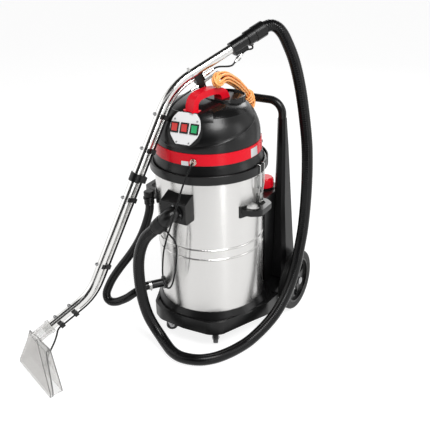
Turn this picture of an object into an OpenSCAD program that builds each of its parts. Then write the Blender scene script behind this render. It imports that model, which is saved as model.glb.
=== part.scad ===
// Upright carpet cleaner: steel recovery drum on a wheeled chassis, motor head with
// three switches, moulded solution tank and push handle behind, floor wand and hoses.
// Millimetres, Z up. The origin is on the floor under the axis of the drum, front faces -Y.

/* [Drum] */
// Outer radius of the steel drum
drum_r = 220; // [218:1:222]
// Sheet thickness of the drum
drum_wall = 1.5; // [1:0.5:2.5]
// Height of the upper edge of the drum sheet
drum_top = 745; // [743:1:746]

/* [Head] */
// Wall thickness of the moulded head
head_wall = 4; // [3:0.5:5]
// Thickness of the white switch panel
panel_t = 3; // [2:0.5:4]
// Angle a switch rocks through
rocker_angle = 14; // [10:1:16]
// Height of the rolled lip round the top disc
disc_lip = 7; // [5:1:9]

/* [Chassis] */
// Thickness of the chassis deck
deck_t = 6; // [4:1:8]
// Thickness of the tyre tread over the wheel rim
tyre_t = 32; // [24:2:34]
// Radius of the rear axle
axle_r = 10; // [8:1:11]
// Radius of the front castor wheels
castor_r = 25; // [22:1:25]

/* [Tank] */
// Wall thickness of the solution tank
tank_wall = 5; // [4:0.5:6]
// Wall thickness of the push handle tube
handle_wall = 2; // [1.5:0.5:3]

/* [Wand] */
// Wall thickness of the wand tube
wand_wall = 1.5; // [1:0.5:2.5]
// Width of the floor nozzle slot, front to back
slot_w = 6; // [4:1:8]
// Gap all round every turning or sliding part
running_gap = 0.05; // [0.04:0.01:0.08]

/* [Hidden] */
$fn = 96;
seat_gap = 0.05;        // between parts that are seated on one another
free_gap = 0.3;         // between parts that pass without touching
far = 600;              // longer than anything it cuts

// Drum and the ring round its mouth
drum_z = 163;
drum_h = drum_top - drum_z;
ring_z = drum_top - 9;
ring_seat = drum_top + 7;
ring_lip = 773;
ring_r = drum_r + 19;
lip_in = drum_r + 14;
drum_seat = drum_r + seat_gap;

// Head levels
band_z = 806;
dome_z = 851;
head_turn = 4;
dome_outer = [[209, 851], [208.8, 866], [208, 880], [206.5, 893], [204, 905], [201, 916],
  [197, 926], [192.5, 937], [187, 947], [181.5, 955.5], [176, 963], [169, 973]];
cap_outer = [[169, 973], [161, 982], [152, 989], [140, 995], [125, 1000], [110, 1004.5],
  [95, 1008], [72, 1011.5], [50, 1013], [0, 1014]];
disc_at = [55, 42];
disc_r = 82;
disc_floor = 1010;
plate_z = 760;
plate_t = 8;

// Switch panel frame on the dome: X across, Y up the slope, Z out of the panel
panel_r = 204;
panel_z = 890;
panel_tilt = 24.7;
panel_mid = 53;
switch_x = [-43, -2, 40];
switch_y = 55;

// Latches, X from the drum's wall
pivot_at = [9, 665];
bail_at = [13, 645];
hook_x = 21.6;
latch_pin = 2.45;
wire_r = 2;

// Chassis and wheels
chassis_z = 80;
rim_z = 140;
deck_z = 132;
wheel_r = 135;
rim_r = wheel_r - tyre_t;
wheel_in = 259;
wheel_out = 300;
axle_y = 250;
beam_h = 46;
beam_z = wheel_r + beam_h / 2;
flank_x = 243;
castor_at = [122, -188];
castor_trail = 20;
castor_turn = [35, 120];
pin_r = 4;

// Solution tank
tank_top = 550;
tank_gap_r = 232;
horn_at = [187.5, 285];
horn_top = 870;
tube_r = 17;
neck_at = [120, 265];
neck_r = 30;
neck_top = 585;

// Wand in its own upright plane: X along the floor, Y up
wand_foot = [-394, -728, 0];
wand_turn = 60;
slot_turn = -21.6;
wand_r = 18;
spray_r = 5.5;
jet_r = 3.5;
spray_off = -(wand_r + spray_r + 0.4);
jet_off = -(wand_r + 2 * spray_r + jet_r + 1);
wand_path = [[70, 208.5, 0], [267, 312, 190], [663, 1078, 240], [1030, 1229.3, 0]];
rise = [for (i = [0:2]) atan2(wand_path[i + 1].y - wand_path[i].y, wand_path[i + 1].x - wand_path[i].x)];
cuff_s = 925;

// Hoses
hose_r = 23.5;
thin_r = 3.5;
drain_r = 18;
cable_r = 4.5;

// helpers
function unit(v) = v / norm(v);

// Points of the fillet at corner q = [x, y, radius] between its neighbours p and s
function fillet(p, q, s, n = 6) =
  let (a = [p.x, p.y], b = [q.x, q.y], c = [s.x, s.y], u = unit(a - b), w = unit(c - b),
       half = acos(max(-1, min(1, u * w))) / 2, m = b + (norm(u + w) < 0.02 ? [0, 0] : unit(u + w))
           * q[2] / sin(half),
       from = b + u * q[2] / tan(half) - m, to = b + w * q[2] / tan(half) - m,
       a0 = atan2(from.y, from.x), sweep = (atan2(to.y, to.x) - a0 + 540) % 360 - 180)
  q[2] <= 0 || norm(u + w) < 0.02 ? [b] : [for (i = [0:n]) m + q[2]
      * [cos(a0 + sweep * i / n), sin(a0 + sweep * i / n)]];

function rounded(pts, n = 6) = [for (i = [0:len(pts) - 1])
  each fillet(pts[(i + len(pts) - 1) % len(pts)], pts[i], pts[(i + 1) % len(pts)], n)];

// Turn angle at corner i of an open path and the length its bend takes off each side
function turn_at(p, i) = let (u = unit([p[i].x - p[i - 1].x, p[i].y - p[i - 1].y]),
  w = unit([p[i + 1].x - p[i].x, p[i + 1].y - p[i].y])) atan2(u.x * w.y - u.y * w.x, u * w);
function cut_at(p, i) = i == 0 || i == len(p) - 1 ? 0 : p[i][2] * tan(abs(turn_at(p, i)) / 2);

// The path moved sideways by d, to the left for d > 0
function shifted(p, d) = [for (i = [0:len(p) - 1])
  let (u = i == 0 ? undef : unit([p[i].x - p[i - 1].x, p[i].y - p[i - 1].y]),
       w = i == len(p) - 1 ? undef : unit([p[i + 1].x - p[i].x, p[i + 1].y - p[i].y]),
       nu = i == 0 ? [-w.y, w.x] : [-u.y, u.x], nw = i == len(p) - 1 ? nu : [-w.y, w.x],
       q = [p[i].x, p[i].y] + d * (nu + nw) / (1 + nu * nw),
       turn = i == 0 || i == len(p) - 1 ? 0 : turn_at(p, i))
  [q.x, q.y, p[i][2] == 0 ? 0 : p[i][2] - sign(turn) * d]];

// The path with both ends carried on by d
function longer(p, d) = let (n = len(p) - 1, u = unit([p[0].x - p[1].x, p[0].y - p[1].y]),
  w = unit([p[n].x - p[n - 1].x, p[n].y - p[n - 1].y])) [for (i = [0:n])
  i == 0 ? [p[0].x + d * u.x, p[0].y + d * u.y, 0] : i == n ? [p[n].x + d * w.x, p[n].y + d * w.y, 0]
      : p[i]];

// Solid round bar along an open path of [x, y, bend radius] corners
module pipe(p, r) {
  for (i = [0:len(p) - 2]) {
    a = [p[i].x, p[i].y];
    b = [p[i + 1].x, p[i + 1].y];
    u = unit(b - a);
    from = a + u * cut_at(p, i);
    to = b - u * cut_at(p, i + 1);
    translate([from.x, from.y, 0]) rotate([0, 90, atan2(u.y, u.x)]) cylinder(h = norm(to - from), r = r);
  }
  for (i = [1:1:len(p) - 2]) {
    turn = turn_at(p, i);
    u = unit([p[i].x - p[i - 1].x, p[i].y - p[i - 1].y]);
    n = sign(turn) * [-u.y, u.x];
    m = [p[i].x, p[i].y] - u * cut_at(p, i) + n * p[i][2];
    start = atan2(-n.y, -n.x);
    translate([m.x, m.y, 0]) rotate([0, 0, turn > 0 ? start : start + turn])
      rotate_extrude(angle = abs(turn)) translate([p[i][2], 0]) circle(r = r);
  }
}

function tangent(p, i) = i == 0 ? unit(p[1] - p[0]) : i == len(p) - 1 ? unit(p[i] - p[i - 1])
  : unit(unit(p[i + 1] - p[i]) + unit(p[i] - p[i - 1]));
function flat_to(v, t) = unit(v - (v * t) * t);
function normals(p, i = 0, last = undef) = i == len(p) ? [] :
  let (t = tangent(p, i), n = flat_to(i == 0 ? (abs(t.z) < 0.8 ? [0, 0, 1] : [1, 0, 0]) : last, t))
  concat([n], normals(p, i + 1, n));
// Closed skin over rings of equal point count, each running round the way it goes; a looped
// skin joins its last ring to its first instead of capping both
module skin(rings, looped = false) {
  n = len(rings[0]);
  all = n * len(rings);
  walls = [for (i = [0:len(rings) - (looped ? 1 : 2)]) for (k = [0:n - 1])
    let (a = i * n + k, b = i * n + (k + 1) % n) each [[a, (a + n) % all, b],
        [b, (a + n) % all, (b + n) % all]]];
  caps = looped ? [] : [[for (k = [0:n - 1]) k], [for (k = [n - 1:-1:0]) all - n + k]];
  polyhedron([for (ring = rings) each ring], concat(caps, walls), convexity = 6);
}
function rings_of(p, r, sides) = let (side = normals(p)) [for (i = [0:len(p) - 1])
  let (v = cross(tangent(p, i), side[i]))
  [for (k = [0:sides - 1]) p[i] + r * (cos(360 * k / sides) * side[i] + sin(360 * k / sides) * v)]];
module cord(p, r, sides = 12) { skin(rings_of(p, r, sides)); }
module bent_tube(p, r, bore, sides) {
  inner = rings_of(p, bore, sides);
  skin(concat(rings_of(p, r, sides), [for (i = [len(p) - 1:-1:0]) inner[i]]), true);
}
// Points of an open path of [x, y, bend radius] corners
function path_pts(p, n) = [for (i = [0:len(p) - 1])
  each i == 0 || i == len(p) - 1 ? [[p[i].x, p[i].y]] : fillet(p[i - 1], p[i], p[i + 1], n)];
function soft_box(a, b, r, n = 4) = rounded([[-a, -b, r], [a, -b, r], [a, b, r], [-a, b, r]], n);

module revolve(pts) { rotate_extrude() polygon(pts); }
module drum_cut() { cylinder(h = 900, r = drum_seat, $fn = 360); }
module tube(r, bore, h) { difference() { cylinder(h = h, r = r); translate([0, 0, -1])
    cylinder(h = h + 2, r = bore); } }
module prism(pts, h) { linear_extrude(h) polygon(pts); }
module mid_prism(pts, h) { linear_extrude(h, center = true) polygon(pts); }
module on_wand() { translate(wand_foot) rotate([90, 0, wand_turn]) children(); }
// A place on the wand: centre line point, slope of the straight there
module wand_spot(s, straight) {
  q = wand_path[straight];
  on_wand() translate([s, q.y + (s - q.x) * tan(rise[straight]), 0]) rotate([0, 0, rise[straight]])
      children();
}
// Local Z along the tube, local X away from it on the underside
module along() { rotate([0, 90, 0]) rotate([0, 0, -90]) children(); }
module on_panel() {
  rotate([0, 0, head_turn]) translate([0, -panel_r, panel_z]) rotate([90 - panel_tilt, 0, 0]) children();
}
module on_nozzle() { translate(wand_foot) rotate([0, 0, slot_turn]) children(); }

// drum
module drum_bore(r) { rotate([0, 90, 0]) cylinder(h = far, r = r); }
module drum() {
  color("silver") difference() {
    union() {
      translate([0, 0, drum_z]) cylinder(h = drum_h, r = drum_r);
      for (z = [408, 450]) translate([0, 0, z]) rotate_extrude() translate([drum_r - 2, 0]) circle(r = 4.5);
    }
    difference() {
      union() {
        translate([0, 0, drum_z + drum_wall]) cylinder(h = drum_h, r = drum_r - drum_wall);
        for (z = [408, 450]) translate([0, 0, z])
          rotate_extrude() translate([drum_r - 2, 0]) circle(r = 4.5 - drum_wall);
      }
      translate([0, 0, drum_z]) cylinder(h = drum_wall, r = drum_r);
    }
    translate([5, 0, 628]) rotate([0, 0, -90]) drum_bore(22);
    translate([0, 0, 227]) rotate([0, 0, -128]) drum_bore(14);
  }
}
module rim_ring() {
  color("black") difference() {
    revolve([[drum_r - 6, ring_z + 4], [drum_seat, ring_z], [ring_r - 3, ring_z], [ring_r, ring_z + 4],
      [ring_r, ring_lip - 2], [ring_r - 2, ring_lip], [lip_in + 1, ring_lip], [lip_in, ring_lip - 1],
      [lip_in, ring_seat], [drum_r - 6, ring_seat]]);
    translate([0, 0, ring_z - 1]) tube(drum_seat, drum_r - drum_wall - seat_gap, drum_top - ring_z + 1);
  }
}

// head
module head_flange() {
  color("black") revolve([[200, ring_seat], [lip_in - 2, ring_seat], [lip_in - 2, 764], [225, 764.01],
      [222, 776],
    [217, 790], [214, band_z], [206, band_z], [206, plate_z], [200, plate_z]]);
}
module red_band() {
  color("crimson") difference() {
    translate([0, 0, band_z]) rotate_extrude()
      polygon([[206, 0], [214, 0], [214.5, 3], [212.5, 40], [212, dome_z - band_z],
          [206, dome_z - band_z]]);
    translate([0, 0, 823]) rotate([0, 0, -73.6]) drum_bore(6.05);
  }
}
module panel_outline(grow = 0) {
  translate([0, panel_mid]) polygon(rounded([[-30 - grow, -59 - grow, 8], [30 + grow, -59 - grow, 8],
    [58 + grow, -26, 40], [65 + grow, 4, 40], [57 + grow, 38, 40], [38 + grow, 60 + grow, 12],
    [-38 - grow, 60 + grow, 12], [-57 - grow, 38, 40], [-65 - grow, 4, 40], [-58 - grow, -26, 40]]));
}
module dome_inside() {
  difference() {
    revolve(concat([for (q = dome_outer) [q.x - head_wall, q.y - 0.01]],
      [[150, 983], [0, 983], [0, dome_z - 1], [dome_outer[0].x - head_wall, dome_z - 1]]));
    on_panel() translate([-100, -60, -panel_t - head_wall]) cube([200, 220, far]);
  }
}
module head_dome() {
  color("black") difference() {
    union() {
      revolve(concat(dome_outer, [[165, 969], [0, 969], [0, dome_z]]));
      rotate([0, 0, -160]) rotate_extrude(angle = 109)
        polygon([[160, 960], [177, 962], [171.5, 975], [163, 985.5], [157, 991], [152, 990.5], [150, 984]]);
      difference() {
        on_panel() translate([0, 0, -26]) linear_extrude(26 - panel_t) panel_outline(2.5);
        translate([0, 0, 978]) cylinder(h = 60, r = 152);
      }
    }
    dome_inside();
    on_panel() translate([-80, -12, -panel_t]) cube([160, 140, 60]);
    on_panel() translate([-62, 32, -30]) cube([122, 46, 40]);
    translate([0, 0, 900]) rotate([0, 0, 90]) drum_bore(10.05);
    for (a = [45, 135, -148, -32]) rotate([0, 0, a]) translate([198, 0, 897]) rotate([0, 70, 0])
      translate([0, 0, -2]) cylinder(h = 12, r = 4);
  }
}
module disc_shape(r, bottom, top) { translate([disc_at.x, disc_at.y, bottom])
    cylinder(h = top - bottom, r = r); }
module top_disc() {
  difference() {
    union() {
      disc_shape(disc_r, 975, disc_floor + disc_lip - 3);
      translate([disc_at.x, disc_at.y, disc_floor + disc_lip - 3])
        rotate_extrude() translate([disc_r - 3, 0]) circle(r = 3);
    }
    disc_shape(disc_r - 6, disc_floor, disc_floor + 20);
    revolve(concat([for (q = cap_outer) [q.x, q.y - 1]], [[0, 900], [169, 900]]));
  }
}

module top_cap() {
  color("black") {
    difference() {
      revolve(concat(cap_outer, [[0, 1004], [50, 1003], [95, 999], [138, 988], [165, 972.5]]));
      rotate([0, 0, -160]) rotate_extrude(angle = 109)
        polygon([[150, 984], [152, 990.5], [156, 996], [180, 996], [180, 960], [160, 960]]);
      disc_shape(disc_r - 6, disc_floor, disc_floor + 20);
    }
    top_disc();
  }
}

// Red carrying handle: rings along its own line, the last ones flare into the block
handle_line = [[0, 990, 15], [0.5, 1000, 14], [2, 1014, 13], [7, 1028, 13], [14, 1036, 13],
  [24, 1042.5, 13], [38, 1046.5, 13], [52, 1048.5, 13], [80, 1050, 12.5], [105, 1049.5, 12.5],
  [125, 1047, 13], [140, 1042, 14.5], [152, 1034, 17], [160, 1024, 20], [164, 1010, 23]];
handle_lean = [90, 85, 80, 60, 42, 24, 12, 5, 1, -4, -14, -30, -50, -70, -90];
module head_handle() {
  side = [for (i = [0:len(handle_line) - 1]) let (q = handle_line[i], a = handle_lean[i])
    [q[0] - sin(a) * q[2], q[1] + cos(a) * q[2]]];
  under = [for (i = [len(handle_line) - 1:-1:0]) let (q = handle_line[i], a = handle_lean[i])
    [q[0] + sin(a) * q[2], q[1] - cos(a) * q[2]]];
  color("crimson") difference() {
    translate([18, -137, 0]) rotate([0, 0, 77]) {
      rotate([90, 0, 0]) mid_prism(concat(side, under), 41);
      translate([2, 0, 978]) prism(soft_box(22, 31, 10), 20);
    }
    revolve([[0, 900], [178, 900], [178, 962], [171.5, 975], [163, 985.5], [157, 991],
      [152, 990.5], [140, 995], [125, 1000], [110, 1004.5], [95, 1008], [72, 1009.5], [0, 1009.5]]);
    on_panel() translate([0, 0, -26]) linear_extrude(32) panel_outline(2.8);
  }
}
module control_panel() {
  color("white") on_panel() translate([0, 0, -panel_t]) difference() {
    linear_extrude(panel_t) panel_outline();
    for (x = switch_x) translate([x, switch_y, panel_t / 2]) cube([30.4, 36.4, far], center = true);
    for (x = [-47, 47]) translate([x, panel_mid + 32, -1]) cylinder(h = 9, r = 2);
    for (x = [-26, 26]) translate([x, panel_mid - 52, -1]) cylinder(h = 9, r = 2);
  }
}
module panel_screws() {
  on_panel() for (q = [[-47, 32], [47, 32], [-26, -52], [26, -52]])
    translate([q.x, panel_mid + q.y, -panel_t]) difference() {
      union() {
        cylinder(h = panel_t, r = 1.95);
        translate([0, 0, panel_t]) cylinder(h = 1.8, r = 3.6);
      }
      translate([0, 0, panel_t + 1.8]) cube([1.2, 5, 1.6], center = true);
    }
}
pocket_r = 14.9;
module rocker_bezels() {
  color("black") on_panel() for (x = switch_x) translate([x, switch_y, 0]) difference() {
    union() {
      translate([-17, -20, 0]) cube([34, 40, 3]);
      translate([-15, -18, -13]) cube([30, 36, 13]);
    }
    translate([-11.8, -pocket_r, -9.5]) cube([23.6, 2 * pocket_r, 20]);
    rotate([0, 90, 0]) cylinder(h = 27, r = 1.5 + running_gap, center = true);
  }
}
module rocker(i) {
  lift = tan(rocker_angle);
  on_panel() translate([switch_x[i], switch_y, 0]) {
    rotate([90, 0, 90]) linear_extrude(23, center = true) intersection() {
      circle(r = 14.5);
      polygon([[-20, -3], [20, -3], [20, 3.4 + 20 * lift], [0, 3.4], [-20, 3.4]]);
    }
    rotate([0, 90, 0]) cylinder(h = 26, r = 1.5, center = true);
  }
}
module rocker_1() { color("red") rocker(0); }
module rocker_2() { color("red") rocker(1); }
module rocker_3() { color("green") rocker(2); }
module dome_screws() {
  for (a = [45, 135, -148, -32]) rotate([0, 0, a]) translate([198, 0, 897])
    rotate([0, 70, 0]) difference() {
      translate([0, 0, -1]) cylinder(h = 6, r = 3.95);
      translate([0, 0, 5]) cylinder(h = 5, r = 1.8, $fn = 6, center = true);
    }
}

// inside the head
motor_x = [-82, 82];
module motor_plate() {
  color("gray") translate([0, 0, plate_z]) difference() {
    cylinder(h = plate_t, r = 206 - free_gap);
    for (x = motor_x) translate([x, 30, -1]) cylinder(h = plate_t + 2, r = 25);
    for (x = motor_x) translate([x, -70, -1]) cylinder(h = plate_t + 2, r = 8);
  }
}
module vacuum_motors() {
  color("gray") for (x = motor_x) translate([x, 30, plate_z + plate_t]) {
    tube(71, 25, 50);
    translate([0, 0, 50]) cylinder(h = 85, r = 44);
    translate([0, 0, 135]) cylinder(h = 14, r = 15);
  }
}
module float_cage() {
  color("white") translate([0, 30, 0]) difference() {
    union() {
      translate([0, 0, plate_z - 8]) cylinder(h = 8, r = 118);
      translate([0, 0, 600]) cylinder(h = plate_z - 600, r = 60);
    }
    translate([0, 0, 606]) cylinder(h = plate_z - 606 - 8, r = 55);
    for (x = motor_x) translate([x, 0, plate_z - 9]) cylinder(h = 10, r = 25);
    for (a = [0:45:135]) rotate([0, 0, a]) translate([0, 0, 674]) cube([150, 20, 118], center = true);
  }
}
module float_ball() { color("orange") translate([0, 30, 606 + 38]) sphere(r = 38); }
module pump() {
  color("gray") {
    translate([0, -70, plate_z + plate_t]) cylinder(h = 62, r = 34);
    translate([0, -70, plate_z + plate_t + 62]) cylinder(h = 22, r = 26);
    translate([12, -100, plate_z + plate_t]) cube([30, 22, 62]);
  }
}

// coupler on the red band
nipple_r = 8;
module on_coupler() { translate([0, 0, 823]) rotate([0, 0, -73.6]) rotate([0, 90, 0]) children(); }
module solution_coupler() {
  color("gold") on_coupler() difference() {
    union() {
      translate([0, 0, 200]) cylinder(h = 20, r = 6);
      translate([0, 0, 214.7]) cylinder(h = 5.2, r = 13);
      translate([0, 0, 219]) cylinder(h = 17, r = nipple_r);
    }
    translate([0, 0, 199]) cylinder(h = 34, r = 2.5);
  }
}
module coupler_sleeve() {
  color("silver") on_coupler() translate([0, 0, 220.3]) {
    tube(10, nipple_r + running_gap, 9.5);
    translate([0, 0, 6]) tube(10.8, nipple_r + running_gap, 2.5);
  }
}

// drum fittings
box_at = [5, -drum_r - 50, 628];
module on_elbow() { translate(box_at) rotate([0, 135, 0]) rotate([0, 0, -90]) children(); }
elbow_path = [[0, 0, 0], [33, 0, 30], [33, 40, 0]];
module inlet_box() {
  color("black") difference() {
    rotate([90, 0, 90]) linear_extrude(114, center = true)
        polygon(rounded([[70 - drum_r, 583, 0], [box_at.y, 583, 6],
      [box_at.y, 668, 10], [8 - drum_r, 692, 0], [70 - drum_r, 692, 0]]));
    drum_cut();
    translate(box_at) rotate([-90, 0, 0]) translate([0, 0, -1]) cylinder(h = 90, r = 22);
  }
}
module inlet_elbow() {
  color("black") on_elbow() difference() {
    union() {
      pipe(elbow_path, 28);
      rotate([0, 90, 0]) cylinder(h = 6, r = 38);
    }
    pipe(longer(elbow_path, 1), 22);
    for (a = [45:90:315]) rotate([a, 0, 0]) translate([-1, 33, 0]) rotate([0, 90, 0])
        cylinder(h = 9, r = 2.05);
  }
}
module elbow_screws() {
  on_elbow() for (a = [45:90:315]) rotate([a, 0, 0]) translate([0, 33, 0])
    rotate([0, 90, 0]) difference() {
      union() { cylinder(h = 6, r = 2); translate([0, 0, 6]) cylinder(h = 2.4, r = 3.8); }
      translate([0, 0, 8.5]) cylinder(h = 3, r = 1.7, $fn = 6, center = true);
    }
}
module inlet_cuff() {
  on_elbow() translate([33, 40, 0]) rotate([-90, 0, 0]) difference() {
    union() {
      cylinder(h = 50, r = 30);
      for (z = [8, 16, 24]) translate([0, 0, z]) cylinder(h = 4, r = 31);
      translate([0, 0, 20]) rotate([90, 0, 0]) cylinder(h = 36, r = 7);
      translate([0, 0, 50]) cylinder(h = 5, r1 = 30, r2 = 26);
    }
    translate([0, 0, -1]) cylinder(h = 11, r = 22);
    translate([0, 0, 10]) cylinder(h = 50, r = hose_r + seat_gap);
    translate([0, 0, 20]) rotate([90, 0, 0]) cylinder(h = 37, r = 3);
  }
}

module side_handles() {
  loop_out = rounded([[-30, -96, 0], [18, -96, 16], [57, -74, 26], [57, 18, 26], [26, 40, 20],
      [-30, 40, 0]]);
  loop_in = rounded([[-30, -74, 0], [14, -74, 8], [35, -62, 14], [35, 8, 14], [18, 18, 8], [-30, 18, 0]]);
  color("black") for (side = [-1, 1]) latch_side(side) difference() {
    union() {
      translate([0, 0, 588]) prism(loop_out, 24);
      intersection() {
        translate([-drum_r, 0, 576]) cylinder(h = 48, r = drum_r + 6);
        for (y = [-104, 19]) translate([-40, y, 570]) cube([60, 30, 60]);
      }
    }
    translate([0, 0, 580]) prism(loop_in, 40);
    translate([-drum_r, 0, 0]) drum_cut();
  }
}

// Toggle latches, drawn for the right side and mirrored to the left
module latch_side(side) { mirror([side < 0 ? 1 : 0, 0, 0]) translate([drum_r, 0, 0]) children(); }
module across(p, y, h, r) { translate([p.x, y, p.y]) rotate([-90, 0, 0]) cylinder(h = h, r = r); }
module latch_plates() {
  ear = rounded([[-1, 652, 0], [6, 652, 3], [15.5, 660, 6], [15.5, 671, 6], [6, 677, 4], [-1, 677, 0]], 5);
  color("silver") for (side = [-1, 1]) latch_side(side) difference() {
    union() {
      translate([-10, -17, 618]) cube([13.4, 34, 100]);
      for (y = [-10, 13]) translate([0, y, 0]) rotate([90, 0, 0]) prism(ear, 3);
      for (z = [632, 704]) translate([2, 0, z]) rotate([0, 90, 0]) cylinder(h = 2.8, r = 4.5);
    }
    translate([-drum_r, 0, 0]) drum_cut();
    across(pivot_at, -14, 28, latch_pin + running_gap);
  }
}
module latch_lever(side) {
  color("silver") latch_side(side) difference() {
    union() {
      for (y = [-9.3, 7.3]) {
        across(pivot_at, y, 2, 4.3);
        translate([0, y + 2, 0]) rotate([90, 0, 0]) prism([[7, 662], [9, 640], [13, 624], [13, 617],
          [17, 617], [17, 655], [12.6, 668]], 2);
      }
      translate([13.5, -9.3, 617]) cube([3.5, 18.6, 38]);
      translate([13.5, -9.3, 615]) cube([7, 18.6, 2.5]);
      across(pivot_at, -13.2, 26.4, latch_pin);
    }
    across(bail_at, -12, 24, wire_r + running_gap);
  }
}
module latch_lever_left() { latch_lever(-1); }
module latch_lever_right() { latch_lever(1); }
module latch_bail(side) {
  leg = path_pts([[bail_at.x, bail_at.y + 1.5, 0], [hook_x, 692, 30], [hook_x, 775.3, 4],
    [pivot_at.x, 775.3, 4], [pivot_at.x, 768, 0]], 4);
  arm = concat([[bail_at.x, -7.5, bail_at.y], [bail_at.x, -14, bail_at.y],
      [bail_at.x, -15.5, bail_at.y + 0.4]],
    [for (q = leg) [q.x, -16, q.y]], [[pivot_at.x, -15.4, 766.8], [pivot_at.x, -14, 766.3]]);
  color("silver") latch_side(side)
    cord(concat(arm, [for (i = [len(arm) - 1:-1:0]) [arm[i].x, -arm[i].y, arm[i].z]]), wire_r, 12);
}
module latch_bail_left() { latch_bail(-1); }
module latch_bail_right() { latch_bail(1); }

// drain
drain_z = 227;
drain_end = drum_r + 65;
collar_z = 583;
collar_h = 32;
plug_at = (drum_r + 32) / 252 * [-190, -165];
module on_drain() { translate([0, 0, drain_z]) rotate([0, 0, -128]) rotate([0, 90, 0]) children(); }
module drain_pipe() {
  color("black") difference() {
    on_drain() {
      translate([0, 0, drum_r - 20]) cylinder(h = drain_end - drum_r + 20, r = drain_r);
      translate([0, 0, drum_r - 20]) cylinder(h = 27, r = 27);
    }
    drum_cut();
    on_drain() translate([0, 0, drum_r - 70]) cylinder(h = 200, r = 14);
  }
}
module drain_clamp() {
  on_drain() translate([0, 0, drain_end - 6]) {
    tube(drain_r + 1.6, drain_r + seat_gap, 12);
    translate([-7, drain_r + 1.5, 1]) cube([14, 7, 10]);
    translate([-12, drain_r + 5, 6]) rotate([0, 90, 0]) cylinder(h = 24, r = 3.2);
  }
}
drain_route = [[-175.53, -224.66, 227], [-182.9, -234, 227], [-190, -244.5, 225], [-199, -257.5, 220],
  [-210, -272, 212], [-224, -285, 201],
  [-243, -295, 185], [-268, -303, 169], [-296, -310, 155], [-322, -315, 152], [-340, -314, 162],
  [-347, -308, 182], [-342, -296, 210], [-330, -278, 245], [-306, -250, 292], [-276, -224, 340],
  [-250, -204, 386], [-227, -188, 436], [-209, -176, 487], [-196, -168, 534], [-191, -165.4, 560],
  [-190, -165, 572], [-190, -165, 583]];
module drain_hose() { color("black") cord(drain_route, drain_r, 12); }
module drain_collar() {
  translate([plug_at.x, plug_at.y, collar_z]) difference() {
    union() {
      cylinder(h = collar_h, r = 19.5);
      for (z = [0, 8, 16]) translate([0, 0, z]) cylinder(h = 4, r = 21);
    }
    translate([0, 0, -1]) cylinder(h = collar_h + 2, r = 14);
    translate([0, 0, 23]) tube(30, 19, 7);
  }
}
module drain_bracket() {
  difference() {
    union() {
      translate([plug_at.x, plug_at.y, 606]) cylinder(h = 7, r = 24);
      rotate([0, 0, -139]) translate([drum_r - 20, -13, 606]) cube([40, 26, 7]);
      intersection() {
        translate([0, 0, 590]) cylinder(h = 64, r = drum_r + 4);
        rotate([0, 0, -139]) translate([drum_r - 20, -20, 590]) cube([40, 40, 64]);
      }
    }
    translate([plug_at.x, plug_at.y, 600]) cylinder(h = 30, r = 19 + seat_gap);
    drum_cut();
  }
}
module drain_plug() {
  color("black") translate([plug_at.x, plug_at.y, collar_z + collar_h]) {
    translate([0, 0, -21]) cylinder(h = 22, r = 14 - running_gap);
    translate([0, 0, free_gap]) cylinder(h = 20, r = 21);
    translate([0, 0, 20 + free_gap]) cylinder(h = 3, r1 = 21, r2 = 18);
  }
}

// chassis
half = [[0, -247, 60], [120, -237, 60], [166, -208, 46], [228, -66, 60], [265, 12, 60], [271, 104, 7],
    [250, 107, 5],
  [flank_x, 185, 60], [flank_x, 300, 40], [232, 335, 36], [0, 335, 0]];
outline = rounded(concat([for (q = half) if (q.x > 0) q],
  [for (i = [len(half) - 2:-1:1]) [-half[i].x, half[i].y, half[i][2]]], [half[0]]), 4);
module plan(k, h) { linear_extrude(h) scale([k, k]) polygon(outline); }
module at_castors() {
  for (i = [0, 1]) translate([castor_at.x * (2 * i - 1), castor_at.y, 0]) children();
}
module chassis() {
  color("black") difference() {
    union() {
      difference() {
        translate([0, 0, chassis_z]) plan(1, rim_z - chassis_z);
        translate([0, 0, deck_z]) plan(0.955, 20);
        translate([0, 0, chassis_z - 1]) plan(0.975, deck_z - deck_t - chassis_z + 1);
      }
      at_castors() translate([0, 0, chassis_z]) cylinder(h = deck_z - chassis_z, r = 32);
      for (x = [-70, 70]) translate([x - 3, -200, chassis_z + 12])
        cube([6, 500, deck_z - chassis_z - 14]);
      translate([0, 0, deck_z]) cylinder(h = drum_z - deck_z, r1 = 240, r2 = 223);
      translate([1 - flank_x, axle_y - 20, beam_z - beam_h]) cube([2 * flank_x - 2, 40, beam_h]);
    }
    translate([0, 0, deck_z]) cylinder(h = 60, r = 196);
    at_castors() translate([0, 0, chassis_z - 1]) cylinder(h = 24, r = 6);
    translate([0, axle_y, wheel_r]) rotate([0, 90, 0]) cylinder(h = far, r = axle_r + seat_gap,
        center = true);
    translate([0, 0, drum_z]) cylinder(h = 20, r = drum_r + 1);
  }
}
module on_wheels() {
  for (m = [0, 1]) mirror([m, 0, 0]) translate([0, axle_y, wheel_r]) rotate([0, 90, 0]) children();
}
module axle_caps() {
  on_wheels() translate([0, 0, wheel_out + free_gap]) {
    cylinder(h = 8, r = 17);
    translate([0, 0, 8]) cylinder(h = 3, r1 = 17, r2 = 11);
  }
}
module rear_axle() {
  color("silver") {
    translate([0, axle_y, wheel_r]) rotate([0, 90, 0]) cylinder(h = 2 * wheel_out + 8, r = axle_r,
        center = true);
    on_wheels() translate([0, 0, flank_x + seat_gap]) cylinder(h = wheel_in - flank_x - seat_gap
        - free_gap, r = 15);
    axle_caps();
  }
}
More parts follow.
